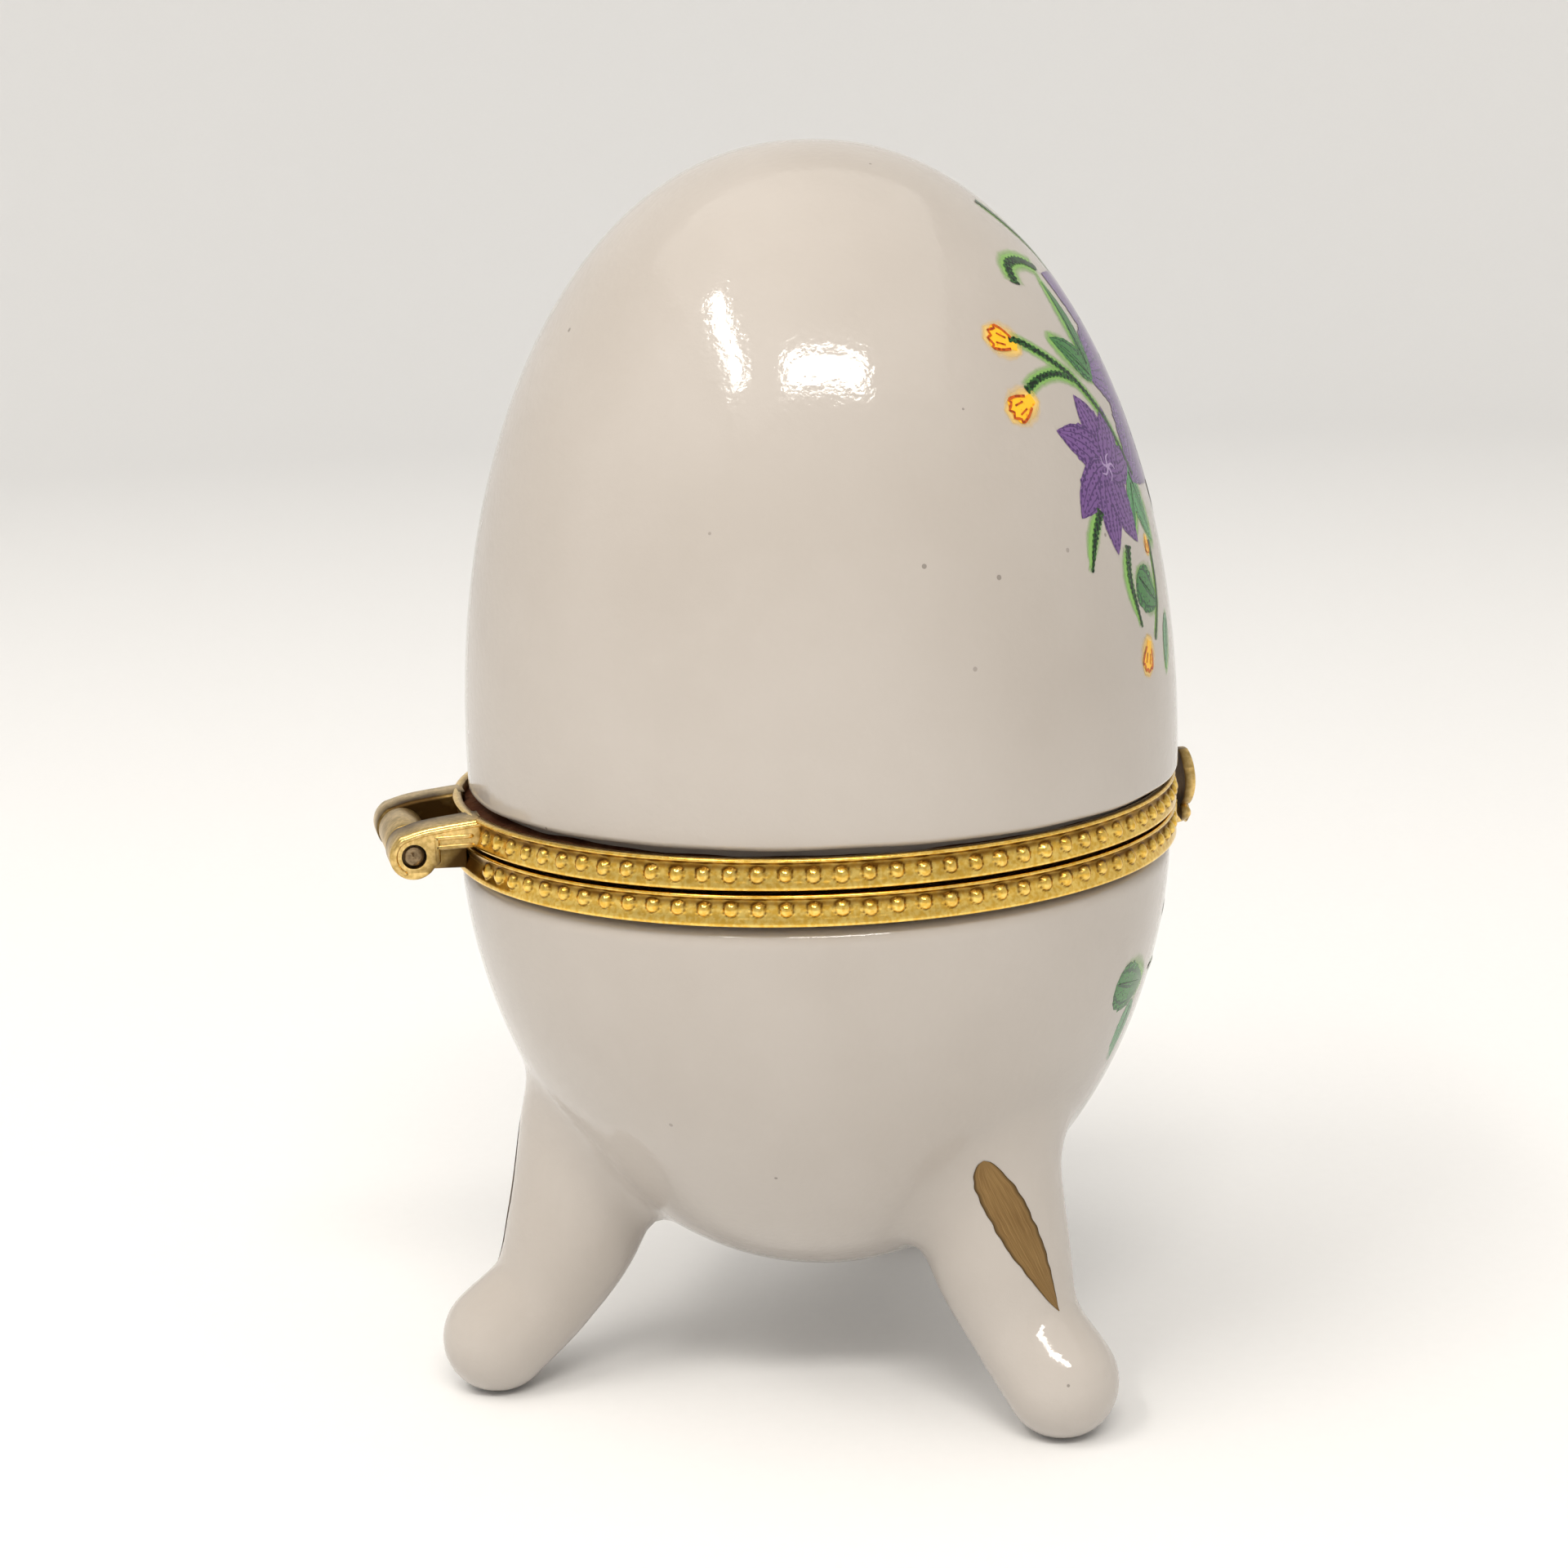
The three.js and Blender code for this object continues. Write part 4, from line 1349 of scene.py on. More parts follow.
@dataclass
class BezelCasting:
    """A bezel: a wall with a lip, a groove of beads and a flared foot, and a flange inside.

    Attributes:
        layout: places read from the frame.
        finishes: the materials.
        name: the piece's name.
        node: the CAD node that it stands for.
        body: the body that it rides on.
        top: the wall's top, above the parting line.
        bottom: the wall's bottom.
        bead_height: the beads' centres, above the parting line.
        flange_up: whether the flange closes the top of the wall instead of its bottom.
        clear_front: half the angle at the clasp that has no beads.
    """

    layout: Layout
    finishes: Finishes
    name: str
    node: str
    body: Body
    top: float
    bottom: float
    bead_height: float
    flange_up: bool
    clear_front: float
    clear_back: float = 14.0
    wall: float = 0.6
    flange_thickness: float = 0.8
    bead_count: int = 90
    columns_per_bead: int = 12
    bead_radius: float = 0.55
    bead_rise: float = 0.46

    def _outer(self) -> np.ndarray:
        """The wall's outer side from bottom to top: a flared foot, a groove for the beads and a rolled lip.

        Returns:
            Rows of radius and height, evenly spaced and dense across the beads.
        """
        radius, low, high = self.layout.bore + self.wall, self.bottom, self.top
        knots = [
            (radius - 0.02, low),
            (radius + 0.17, low + 0.05),
            (radius + 0.24, low + 0.2),
            (radius + 0.15, low + 0.5),
            (radius - 0.02, low + 0.85),
            (radius - 0.14, high - 1.15),
            (radius - 0.2, high - 0.7),
            (radius - 0.14, high - 0.45),
            (radius + 0.02, high - 0.33),
            (radius + 0.14, high - 0.22),
            (radius + 0.15, high - 0.12),
            (radius + 0.04, high - 0.02),
            (radius - 0.12, high),
        ]
        line = np.array(smooth_line(knots, 8))
        along = np.concatenate([[0], np.cumsum(np.hypot(*np.diff(line, axis=0).T))])
        places = np.linspace(0, along[-1], 40)
        return np.stack([np.interp(places, along, line[:, 0]), np.interp(places, along, line[:, 1])], 1)

    def _inner(self) -> list[Point]:
        """The section's other points, from the wall's top round the inside to its bottom.

        Returns:
            Radius and height of each point.
        """
        bore, flange, thick = self.layout.bore, self.layout.flange, self.flange_thickness
        high, low, bevel = self.top, self.bottom, 0.1
        if self.flange_up:
            lip = [(flange + bevel, high), (flange, high - bevel), (flange, high - thick)]
            return [*lip, (bore, high - thick), (bore, low)]
        lip = [(bore + bevel, high), (bore, high - bevel), (bore, low + thick)]
        return [*lip, (flange, low + thick), (flange, low)]

    def build(self) -> None:
        """Makes the ring with its beads in one surface."""
        place_at = self.layout
        outer = self._outer()
        section = np.vstack([outer, np.array(self._inner())])
        columns = self.bead_count * self.columns_per_bead
        turn = np.arange(columns) * 2 * math.pi / columns
        radius = np.repeat(section[:, 0][:, None], columns, 1)
        height = np.repeat(section[:, 1][:, None], columns, 1)
        pitch = 2 * math.pi / self.bead_count
        order = np.floor(turn / pitch).astype(int)
        centre = (order + 0.5) * pitch
        degrees = np.degrees(centre)
        clear = (np.abs(degrees - 90) > self.clear_back) & (np.abs(degrees - 270) > self.clear_front)
        rng = np.random.default_rng(21 if self.flange_up else 34)
        smallest, largest, most_slip = 0.93, 1.05, 0.05
        size = rng.uniform(smallest, largest, self.bead_count)[order]
        slip = rng.uniform(-most_slip, most_slip, self.bead_count)[order]
        wide = (turn - centre) * (place_at.bore + self.wall)
        rows = len(outer)
        tall = height[:rows] - (self.bead_height + slip)
        reach = np.hypot(wide[None, :], tall) / (self.bead_radius * size)
        dome = np.sqrt(np.clip(1 - reach**2, 0, 1)) * clear
        collar = np.exp(-(((reach - 1.12) / 0.1) ** 2)) * 0.05 * clear
        radius[:rows] += self.bead_rise * dome + collar
        # Painted shade: darker in the groove round the beads, in a ring round each bead and on the inner
        # faces.
        painted_shade_and_tarnish = np.zeros_like(radius)
        groove = np.exp(-(((height[:rows] - (self.top - 0.68)) / 0.34) ** 2))
        ring = np.exp(-(((reach - 1.08) / 0.13) ** 2)) * clear
        painted_shade_and_tarnish[:rows] = np.clip(0.8 * groove * (1 - dome) + 0.85 * ring, 0, 1)
        painted_shade_and_tarnish[rows:] = 0.6
        points = np.stack(
            [radius * np.cos(turn), place_at.axis_y + radius * np.sin(turn), place_at.seam + height], -1
        ).reshape(-1, 3)
        faces = []
        total = len(section)
        for i in range(total):
            a, b = i * columns, ((i + 1) % total) * columns
            faces += [[a + j, a + (j + 1) % columns, b + (j + 1) % columns, b + j] for j in range(columns)]
        surface = Surface(points, faces, shade=painted_shade_and_tarnish.ravel())
        place(surface.object(self.name, self.finishes.brass, 55), self.body, Slot.BRASS, self.node)


# ---- hinge --------------------------------------------------------------------------------------------


@dataclass
class Hinge:
    """The fork on the lid's bezel, the knuckle on the base's and the pin through both.

    Attributes:
        layout: places read from the frame.
        finishes: the materials.
    """

    layout: Layout
    finishes: Finishes
    width: float = 13.8
    knuckle_width: float = 6.4
    side_gap: float = 0.3
    eye: float = 1.9
    knuckle: float = 1.8
    heel: float = 2.05
    hole: float = 0.68
    clearance: float = 0.35
    lid_wall_top: float = 2.55
    base_wall_bottom: float = 2.6
    root_depth: float = 0.5
    edge: float = 0.28
    rib: float = 0.23
    recess: float = 0.98

    def _circle(self, radius: float, start: float, end: float, steps: int) -> list[Point]:
        """Points of an arc round the pin, in the plane of its side view.

        Args:
            radius: the arc's radius.
            start: angle of its first point, in degrees from +Y up.
            end: angle of its last point.
            steps: how many points it has.

        Returns:
            Y and Z of each point.
        """
        angles = np.radians(np.linspace(start, end, steps))
        place = self.layout
        return [(place.pin_y + radius * math.cos(a), place.seam + radius * math.sin(a)) for a in angles]

    def _arm_line(self) -> list[Point]:
        """The arm's upper edge from the back of the eye up to the bezel's lip.

        Returns:
            Y and Z of each point.
        """
        place = self.layout
        root = place.axis_y + place.bore - self.root_depth
        top = place.seam + self.lid_wall_top
        start = self._circle(self.eye, 62, 62, 1)[0]
        return smooth_line([start, (place.pin_y - 1.1, top - 0.38), (root + 0.9, top - 0.03), (root, top)], 8)

    def _arm(self) -> Surface:
        """One arm of the fork, centred on X = 0.

        Returns:
            The arm.
        """
        place = self.layout
        root = place.axis_y + place.bore - self.root_depth
        under, heel = place.seam + self.clearance, place.pin_y - self.heel
        outline = [(root, under), (heel, under), (heel, place.seam - 0.7)]
        outline += self._circle(self.eye, 212, 422, 34) + self._arm_line()[1:]
        width = (self.width - self.knuckle_width) / 2 - self.side_gap
        hole = self._circle(self.recess, 0, 345, 24)
        return slab(outline, width, self.edge, hole)

    def _ribs(self, side: float) -> list[Surface]:
        """Raised lines on an arm's outer face: one along its top and round the eye, two along its root.

        Args:
            side: -1 or 1, the arm's side.

        Returns:
            The lines.
        """
        place = self.layout
        x = side * (self.width / 2 - 0.12)
        root = place.axis_y + place.bore + 0.35
        over = [(x, y, z - 0.42) for y, z in reversed(self._arm_line())]
        round_eye = [(x, y, z) for y, z in self._circle(self.eye - 0.42, 62, -60, 16)]
        middle = place.seam + self.clearance + 0.95
        lower = place.seam + self.clearance + 0.22
        heel = place.pin_y - self.heel
        straight = [[(x, y, z) for y in np.linspace(root, heel + 0.25, 6)] for z in (middle, lower)]
        upright = [(x, heel + 0.2, z) for z in np.linspace(place.seam - 0.5, middle, 6)]
        lines = [over[:-1] + round_eye, *straight, upright]
        return [tube(line, self.rib) for line in lines]

    def _pin_end(self, side: float, seed: int) -> Surface:
        """A hammered pin end, set in its eye.

        Args:
            side: -1 or 1, the arm's side.
            seed: picks the hammer's marks.

        Returns:
            The pin's end.
        """
        rng = np.random.default_rng(seed)
        snug = self.recess - 0.02
        profile = [(0.0, -1.2), (snug, -1.2), (snug, -0.5), (self.hole, -0.45), (self.hole + 0.1, -0.15)]
        profile += [(self.hole + 0.04, -0.02), (0.42, 0.1), (0.2, 0.06), (0.0, 0.08)]
        end = revolved(profile, 20, 0.0)
        dents = rng.normal(0, 0.035, len(end.points)) * (end.points[:, 2] > -0.05)
        height = end.points[:, 2] + dents
        x = side * (self.width / 2 - 0.16 + height)
        y, z = self.layout.pin_y + end.points[:, 0], self.layout.seam + side * end.points[:, 1]
        return Surface(np.stack([x, y, z], 1), end.faces)

    def build(self) -> None:
        """Makes the fork, the knuckle and the pin."""
        place_at = self.layout
        shift = (self.width + self.knuckle_width) / 4 + self.side_gap / 2
        parts = []
        for side in (-1.0, 1.0):
            arm = self._arm()
            arm.points[:, 0] += side * shift
            parts += [arm, *self._ribs(side)]
        fork = joined(parts)
        # Painted shade, with some dirt: darker on the arms' inner faces and low down near the bezel.
        deep = np.clip((self.width / 2 - 1.2 - np.abs(fork.points[:, 0])) / 1.6, 0, 1)
        low = np.clip((place_at.seam + 1.2 - fork.points[:, 2]) / 1.6, 0, 1)
        low *= fork.points[:, 1] < place_at.pin_y - 1
        fork.shade = np.clip(0.06 + 0.7 * deep + 0.5 * low, 0, 1)
        place(fork.object("hinge_fork", self.finishes.dull_brass), Body.LID, Slot.BRASS, "lid_bezel")

        root = place_at.axis_y + place_at.bore + 0.35
        bottom = place_at.seam - self.base_wall_bottom + 0.45
        outline = smooth_line([(root, bottom), (place_at.pin_y - 1.5, bottom + 0.15)], 6)
        outline += self._circle(self.knuckle, -98, 168, 40) + [(root, place_at.seam - self.clearance)]
        knuckle = slab(outline, self.knuckle_width, 0.22, self._circle(self.hole, 0, 345, 24))
        # Painted shade, darker towards the root under the fork.
        knuckle.shade = np.clip(0.25 + 0.3 * (place_at.pin_y - 0.6 - knuckle.points[:, 1]), 0.25, 1)
        place(knuckle.object("hinge_knuckle", self.finishes.dull_brass), Body.BASE, Slot.BRASS, "base_bezel")

        reach = self.width / 2 - 0.5
        line = [(x, place_at.pin_y, place_at.seam) for x in np.linspace(-reach, reach, 12)]
        pin = joined([tube_along_x(line, self.hole - 0.08), self._pin_end(-1.0, 4), self._pin_end(1.0, 9)])
        out = np.hypot(pin.points[:, 1] - place_at.pin_y, pin.points[:, 2] - place_at.seam)
        # Painted shade on the part of each end that is sunk in the eye's recess.
        pin.shade = np.where(out > self.hole + 0.12, 1.0, 0.15)
        ends = pin.object("pin_with_peened_ends", self.finishes.peened, 40)
        place(ends, Body.LID, Slot.DARK_BRASS, "hinge_pin")


def tube_along_x(line: Sequence[Place], radius: float, sides: int = 20) -> Surface:
    """A round bar along X with flat ends.

    Args:
        line: points of its centre line, in order along X.
        radius: the bar's radius.
        sides: facets round it.

    Returns:
        The closed surface.
    """
    turn = np.arange(sides) * 2 * math.pi / sides
    points = [(x, y + radius * math.cos(a), z + radius * math.sin(a)) for x, y, z in line for a in turn]
    faces = []
    for i in range(len(line) - 1):
        a, b = i * sides, (i + 1) * sides
        faces += [[a + j, a + (j + 1) % sides, b + (j + 1) % sides, b + j][::-1] for j in range(sides)]
    faces.append(list(range(sides))[::-1])
    faces.append([(len(line) - 1) * sides + j for j in range(sides)])
    return Surface(np.array(points), faces)


# ---- clasp --------------------------------------------------------------------------------------------


@dataclass
class Clasp:
    """The springy plate, its lug and rivet on the base, and the stud on the lid.

    Attributes:
        layout: places read from the frame.
        finishes: the materials.
    """

    layout: Layout
    finishes: Finishes
    reach: float = 31.75
    thickness: float = 1.1
    edge_thickness: float = 0.42
    half_width: float = 2.3
    foot_half: float = 1.6
    foot_thickness: float = 0.9
    waist_thickness: float = 0.3
    top: float = 2.0
    waist: float = -2.6
    foot: float = -4.4
    lug_width: float = 3.2

    def _plate(self) -> Surface:
        """The plate: an oval convex lobe, a thin waist and a small round foot.

        Returns:
            The closed plate.
        """
        levels = np.concatenate(
            [np.linspace(self.foot, self.waist, 18)[:-1], np.linspace(self.waist, self.top, 34)]
        )
        span_foot, span_lobe = self.waist - self.foot, self.top - self.waist
        narrowest, swell = 0.2, self.thickness - self.edge_thickness
        widths, depths = [], []
        for z in levels:
            if z < self.waist:
                s = (z - self.foot) / span_foot
                round_off = math.sin(math.pi * min(1.0, 0.02 + 0.86 * s))
                widths.append(max(self.foot_half * round_off**0.6, narrowest))
                depths.append(self.waist_thickness + (self.foot_thickness - self.waist_thickness) * round_off)
            else:
                s = (z - self.waist) / span_lobe
                round_off = math.sin(math.pi * min(1.0, 0.12 + 0.86 * s))
                widths.append(max(self.half_width * round_off**0.55, narrowest))
                depths.append(self.edge_thickness + swell * math.sin(math.pi * (0.04 + 0.9 * s)) ** 0.16)
        across = np.linspace(-1, 1, 17)
        points, shade = [], []
        for z, w, t in zip(levels, widths, depths):
            for c in across:
                arch = 0.84 + 0.16 * (1 - abs(c) ** 2.6) ** 0.5
                rim = 0.05 * math.exp(-(((abs(c) - 0.82) / 0.09) ** 2))
                points.append((c * w, -(self.reach + t * arch + rim), z))
                # Darker along a line just inside the front's raised rim.
                shade.append(0.5 * math.exp(-(((abs(c) - 0.66) / 0.08) ** 2)))
            for c in across[::-1]:
                points.append((c * w * 0.98, -self.reach, z))
                # Painted shade on the plate's back face.
                shade.append(0.95)
        loop = 2 * len(across)
        faces = []
        for i in range(len(levels) - 1):
            a, b = i * loop, (i + 1) * loop
            faces += [[a + j, a + (j + 1) % loop, b + (j + 1) % loop, b + j] for j in range(loop)]
        faces.append(list(range(loop))[::-1])
        faces.append([(len(levels) - 1) * loop + j for j in range(loop)])
        placed = np.array(points)
        placed[:, 1] += self.layout.axis_y
        placed[:, 2] += self.layout.seam
        return Surface(placed, faces, shade=np.array(shade))

    def _lug(self) -> Surface:
        """The lug that slopes down and out from the base's bezel.

        Returns:
            The lug.
        """
        place = self.layout
        root, face = place.bore + 0.4, self.reach - 0.35
        side = [(-root, -2.15), (-(root + 0.6), -2.35), (-(face - 0.2), -3.9), (-face, -4.05), (-face, -2.2)]
        side += [(-(face - 0.2), -1.95), (-(root + 0.9), -1.9), (-root, -1.75)]
        outline = [(place.axis_y + y, place.seam + z) for y, z in smooth_line(side, 5)]
        return slab(outline[::-1] if signed_area(outline) < 0 else outline, self.lug_width, 0.35)

    def _turned(self, profile: Sequence[Point], out: float, height: float) -> Surface:
        """A small turned piece whose axis points forward.

        Args:
            profile: radius and distance forward of each point.
            out: its seat's distance from the axis.
            height: its height above the parting line.

        Returns:
            The placed surface.
        """
        form = revolved(profile, 28, 0.0)
        x, y, z = form.points.T
        forward = self.layout.axis_y - out - z
        return Surface(np.stack([x, forward, self.layout.seam + height + y], 1), form.faces)

    def build(self) -> None:
        """Makes the plate, the lug, the rivet and the stud."""
        plate = self._plate().object("clasp_leaf", self.finishes.dull_brass, 60)
        place(plate, Body.CLASP, Slot.BRASS, "clasp_plate")
        lug = self._lug()
        lug.shade = np.full(len(lug.points), 0.12)
        place(lug.object("clasp_lug", self.finishes.dull_brass), Body.BASE, Slot.BRASS, "base_bezel")
        shank = 0.4
        head = [(0.0, -2.0), (shank, -2.0), (shank, 0.0)]
        head += [(0.9, 0.0), (1.0, 0.1), (0.86, 0.23), (0.46, 0.34), (0.0, 0.37)]
        rivet = self._turned(head, self.reach + 0.72, (self.waist + self.foot) / 2)
        rivet.shade = np.full(len(rivet.points), 0.15)
        place(rivet.object("rivet_head", self.finishes.dull_brass, 40), Body.BASE, Slot.BRASS, "clasp_rivet")
        stem = 0.45
        knob = [(0.0, -0.6), (stem, -0.6), (stem, 0.5)]
        knob += [(0.75, 0.62), (0.75, 1.35), (0.66, 1.66), (0.4, 1.85), (0.0, 1.9)]
        stud = self._turned(knob, self.layout.bore + 0.6, 1.2)
        stud.shade = np.full(len(stud.points), 0.25)
        place(stud.object("stud_knob", self.finishes.dull_brass, 40), Body.LID, Slot.BRASS, "catch_stud")


def signed_area(outline: Sequence[Point]) -> float:
    """Area of an outline, positive when it runs anticlockwise."""
    line = np.array(outline)
    ahead = np.roll(line, -1, 0)
    return float(0.5 * np.sum(line[:, 0] * ahead[:, 1] - ahead[:, 0] * line[:, 1]))


@dataclass
class CementRings:
    """The uneven cement between each shell's neck and its bezel.

    Attributes:
        layout: places read from the frame.
        finishes: the materials.
    """

    layout: Layout
    finishes: Finishes

    def _ring(self, low: float, high: float, seed: int, neck_y: float) -> Surface:
        """One ring, whose open face rises and falls.

        Args:
            low: height of the face that lies on the flange.
            high: mean height of the open face.
            seed: picks the unevenness.
            neck_y: place of the neck's axis.

        Returns:
            The closed ring.
        """
        place = self.layout
        outer, inner = place.bore - 0.06, place.bore - 1.04
        climb = 0.55 if high > low else -0.1
        section = [(inner, low), (outer, low), (outer, high)]
        section += [(inner + 0.5, high + 0.3 * climb), (inner, high + climb)]
        if high < low:
            section = section[::-1]
        ring = revolved(section, 240, place.axis_y)
        points = ring.points
        turn = np.arctan2(points[:, 1] - place.axis_y, points[:, 0])
        open_face = np.abs(points[:, 2] - low) > 0.1
        points[:, 2] += 0.16 * open_face * ripple(turn, seed, (5, 11, 17, 29))
        near_neck = np.hypot(points[:, 0], points[:, 1] - place.axis_y) < inner + 0.2
        points[:, 1] += np.where(near_neck, neck_y - place.axis_y, 0.0)
        return ring

    def build(self) -> None:
        """Makes both rings."""
        place_at = self.layout
        lid = self._ring(place_at.seam + 1.06, place_at.seam + 1.75, 6, place_at.lid_y)
        place(lid.object("lid_putty", self.finishes.putty), Body.LID, Slot.CEMENT, "lid_cement")
        base = self._ring(place_at.seam - 1.06, place_at.seam - 2.0, 7, place_at.axis_y)
        place(base.object("base_putty", self.finishes.putty), Body.BASE, Slot.CEMENT, "base_cement")


# ---- transfer flowers ---------------------------------------------------------------------------------


def narrowing(half: float, loss: float = 0.0) -> Width:
    """A width that narrows evenly."""
    return lambda share: half * (1 - loss * share)


def swelling(half: float, power: float, end: float) -> Width:
    """A width that swells in the middle and closes at both ends."""
    return lambda share: half * np.sin(math.pi * np.clip(share, end, 1 - end)) ** power


def pointed(half: float) -> Width:
    """The width of a petal or leaf: round at its root, widest before its middle and pointed at its tip."""
    return lambda share: half * 2.49 * np.clip(share, 0, 1) ** 0.5 * np.clip(1 - share, 0, 1) ** 0.9


@dataclass
class Transfer:
    """Printed flowers laid on one dome, sorted by ink.

    Attributes:
        skin: the surface that they lie on.
        inks: the printed colours.
        body: the body that they ride on.
        name: the start of each piece's name.
        halo_lift: how far the halos stand off the glaze; each lift after it is for what prints over them.
        shapes: what has been laid so far, by ink.
    """

    skin: Skin
    inks: dict[Tint, bpy.types.Material]
    body: Body
    name: str
    halo_lift: float = 0.02
    petal_lift: float = 0.036
    petal_step: float = 0.003
    leaf_lift: float = 0.04
    bud_lift: float = 0.045
    stem_lift: float = 0.06
    rib_lift: float = 0.062
    line_lift: float = 0.066
    tick_lift: float = 0.07
    shapes: dict[Tint, list[Surface]] = field(default_factory=dict)

    def strip(
        self,
        tint: Tint,
        spot: Point,
        line: Sequence[Point],
        width: Width,
        lift: float,
        columns: int = 7,
        dots: float = 0.0,
    ) -> None:
        """Lays a shape with a centre line and a width.

        Args:
            tint: its ink.
            spot: angle and height of the anchor.
            line: across and up offsets of the centre line's points from the anchor.
            width: half width against distance along, both 0 to 1 along the line, in millimetres.
            lift: distance off the glaze.
            columns: points across.
            dots: spacing of the dots that the shape runs together from, or 0 for an even edge.
        """
        centre = np.array(smooth_line(line, 10))
        gaps = np.hypot(*np.diff(centre, axis=0).T)
        along = np.concatenate([[0], np.cumsum(gaps)])
        count = max(8, int(along[-1] / (dots / 5 if dots else 0.22)))
        share = np.linspace(0, 1, count)
        x = np.interp(share * along[-1], along, centre[:, 0])
        y = np.interp(share * along[-1], along, centre[:, 1])
        ahead = np.stack([np.gradient(x), np.gradient(y)], 1)
        ahead /= np.maximum(np.linalg.norm(ahead, axis=1, keepdims=True), 1e-9)
        side = np.stack([-ahead[:, 1], ahead[:, 0]], 1)
        raggedness, bulge, least = 0.09, 0.24, 0.02
        half = width(share) * (1 + raggedness * ripple(share * along[-1], 2, (5, 8, 12)))
        half = np.maximum(half, least)
        if dots:
            half *= 1 + bulge * np.sin(2 * math.pi * share * along[-1] / dots)
        across = np.linspace(-1, 1, columns)
        u = x[:, None] + side[:, :1] * half[:, None] * across
        v = y[:, None] + side[:, 1:] * half[:, None] * across
        points = self.skin.points(spot[0], spot[1], u.ravel(), v.ravel(), lift)
        faces = [
            [i * columns + j, i * columns + j + 1, (i + 1) * columns + j + 1, (i + 1) * columns + j]
            for i in range(count - 1)
            for j in range(columns - 1)
        ]
        uv = np.stack([np.repeat(share, columns), np.tile((across + 1) / 2, count)], 1)
        surface = facing_out(Surface(points, faces, uv=uv), self.skin.dome.distance)
        self.shapes.setdefault(tint, []).append(surface)

    def petal(self, tint: Tint, spot: Point, tip: Point, half: float, lift: float) -> None:
        """Lays a pointed petal or leaf from the anchor to its tip.

        Args:
            tint: its ink.
            spot: angle and height of the anchor.
            tip: across and up offset of the tip.
            half: its greatest half width.
            lift: distance off the glaze.
        """
        bend = 0.06
        middle = (tip[0] * 0.5 - tip[1] * bend, tip[1] * 0.5 + tip[0] * bend)
        self.strip(tint, spot, [(0.0, 0.0), middle, tip], pointed(half), lift, 9)

    def stem(self, spot: Point, line: Sequence[Point], half: float) -> None:
        """Lays a dotted stem in its green halo."""
        self.strip(Tint.HALO, spot, line, narrowing(3.8 * half), self.halo_lift, 9)
        self.strip(Tint.STEM, spot, line, narrowing(1.35 * half, 0.3), self.stem_lift, 3, 0.48)

    def star(self, spot: Point, tips: Sequence[Point], half: float, tint: Tint) -> None:
        """Lays a flower of pointed petals with a dark heart.

        Args:
            spot: angle and height of its heart.
            tips: offset of each petal's tip.
            half: the petals' half width.
            tint: the petals' ink.
        """
        for i, tip in enumerate(tips):
            self.petal(tint, spot, tip, half, self.petal_lift + self.petal_step * i)
        curls, first, bend, knee, reach = 5, 0.4, 0.5, 0.7, 1.15
        for i in range(curls):
            a = 2 * math.pi * i / curls + first
            b = a + bend
            curl = [(0.0, 0.0), (knee * math.cos(a), knee * math.sin(a))]
            curl.append((reach * math.cos(b), reach * math.sin(b)))
            self.strip(Tint.CURL, spot, curl, narrowing(0.14, 0.1 / 0.14), self.line_lift, 3)

    def bud(self, spot: Point, lean: float, size: float = 1.0) -> None:
        """Lays a yellow bud with a scalloped rust edge.

        Args:
            spot: angle and height of its base.
            lean: direction that it opens in, degrees from straight up towards growing angles.
            size: scales the bud.
        """
        cosine, sine = math.cos(math.radians(lean)), math.sin(math.radians(lean))

        def turned(x: float, y: float) -> Point:
            """A point of the upright bud, scaled and leant over."""
            return size * (x * cosine + y * sine), size * (y * cosine - x * sine)

        def cup(share: np.ndarray) -> np.ndarray:
            """Half width of the bud, which widens to a blunt mouth."""
            return size * (0.35 + 0.65 * share) * np.clip((1.02 - share) / 0.14, 0, 1) ** 0.5

        spine = [turned(0, y) for y in (-0.3, 0.9, 2.1)]
        glow = [turned(0, y) for y in (-0.9, 0.8, 2.7)]
        self.strip(Tint.GLOW, spot, glow, swelling(1.6 * size, 0.5, 0.02), self.halo_lift, 9)
        self.strip(Tint.YELLOW, spot, spine, cup, self.bud_lift, 9)
        scallops = []
        for k in range(25):
            t = k / 24
            x = -1.0 + 2.0 * t
            edge = 2.05 - 0.5 * abs(x) ** 2 + 0.16 * math.cos(6 * math.pi * t)
            scallops.append(turned(0.92 * x, edge))
        rim = [turned(-0.45, 0.25), turned(-0.8, 1.0), *scallops[::2], turned(0.8, 1.0), turned(0.45, 0.25)]
        self.strip(Tint.RUST, spot, rim, narrowing(0.1 * size), self.line_lift, 3)
        for x in (-0.25, 0.3):
            tick = [turned(x, 0.7), turned(x * 1.3, 1.5)]
            self.strip(Tint.RUST, spot, tick, narrowing(0.07 * size), self.tick_lift, 3)

    def leaf(self, spot: Point, tip: Point, half: float, tint: Tint = Tint.LEAF) -> None:
        """Lays a leaf in a soft halo with a dark midrib.

        Args:
            spot: angle and height of its root.
            tip: across and up offset of its tip.
            half: its greatest half width.
            tint: its ink.
        """

        def along(share: float) -> Point:
            """The point at a share of the way from the root to the tip."""
            return tip[0] * share, tip[1] * share

        halo = swelling(half + 0.45, 0.6, 0.03)
        self.strip(Tint.HALO, spot, [along(-0.1), along(1.12)], halo, self.halo_lift, 9)
        self.petal(tint, spot, tip, half, self.leaf_lift)
        self.strip(Tint.STEM, spot, [along(0.1), along(0.85)], narrowing(0.077, 1 / 1.1), self.rib_lift, 3)

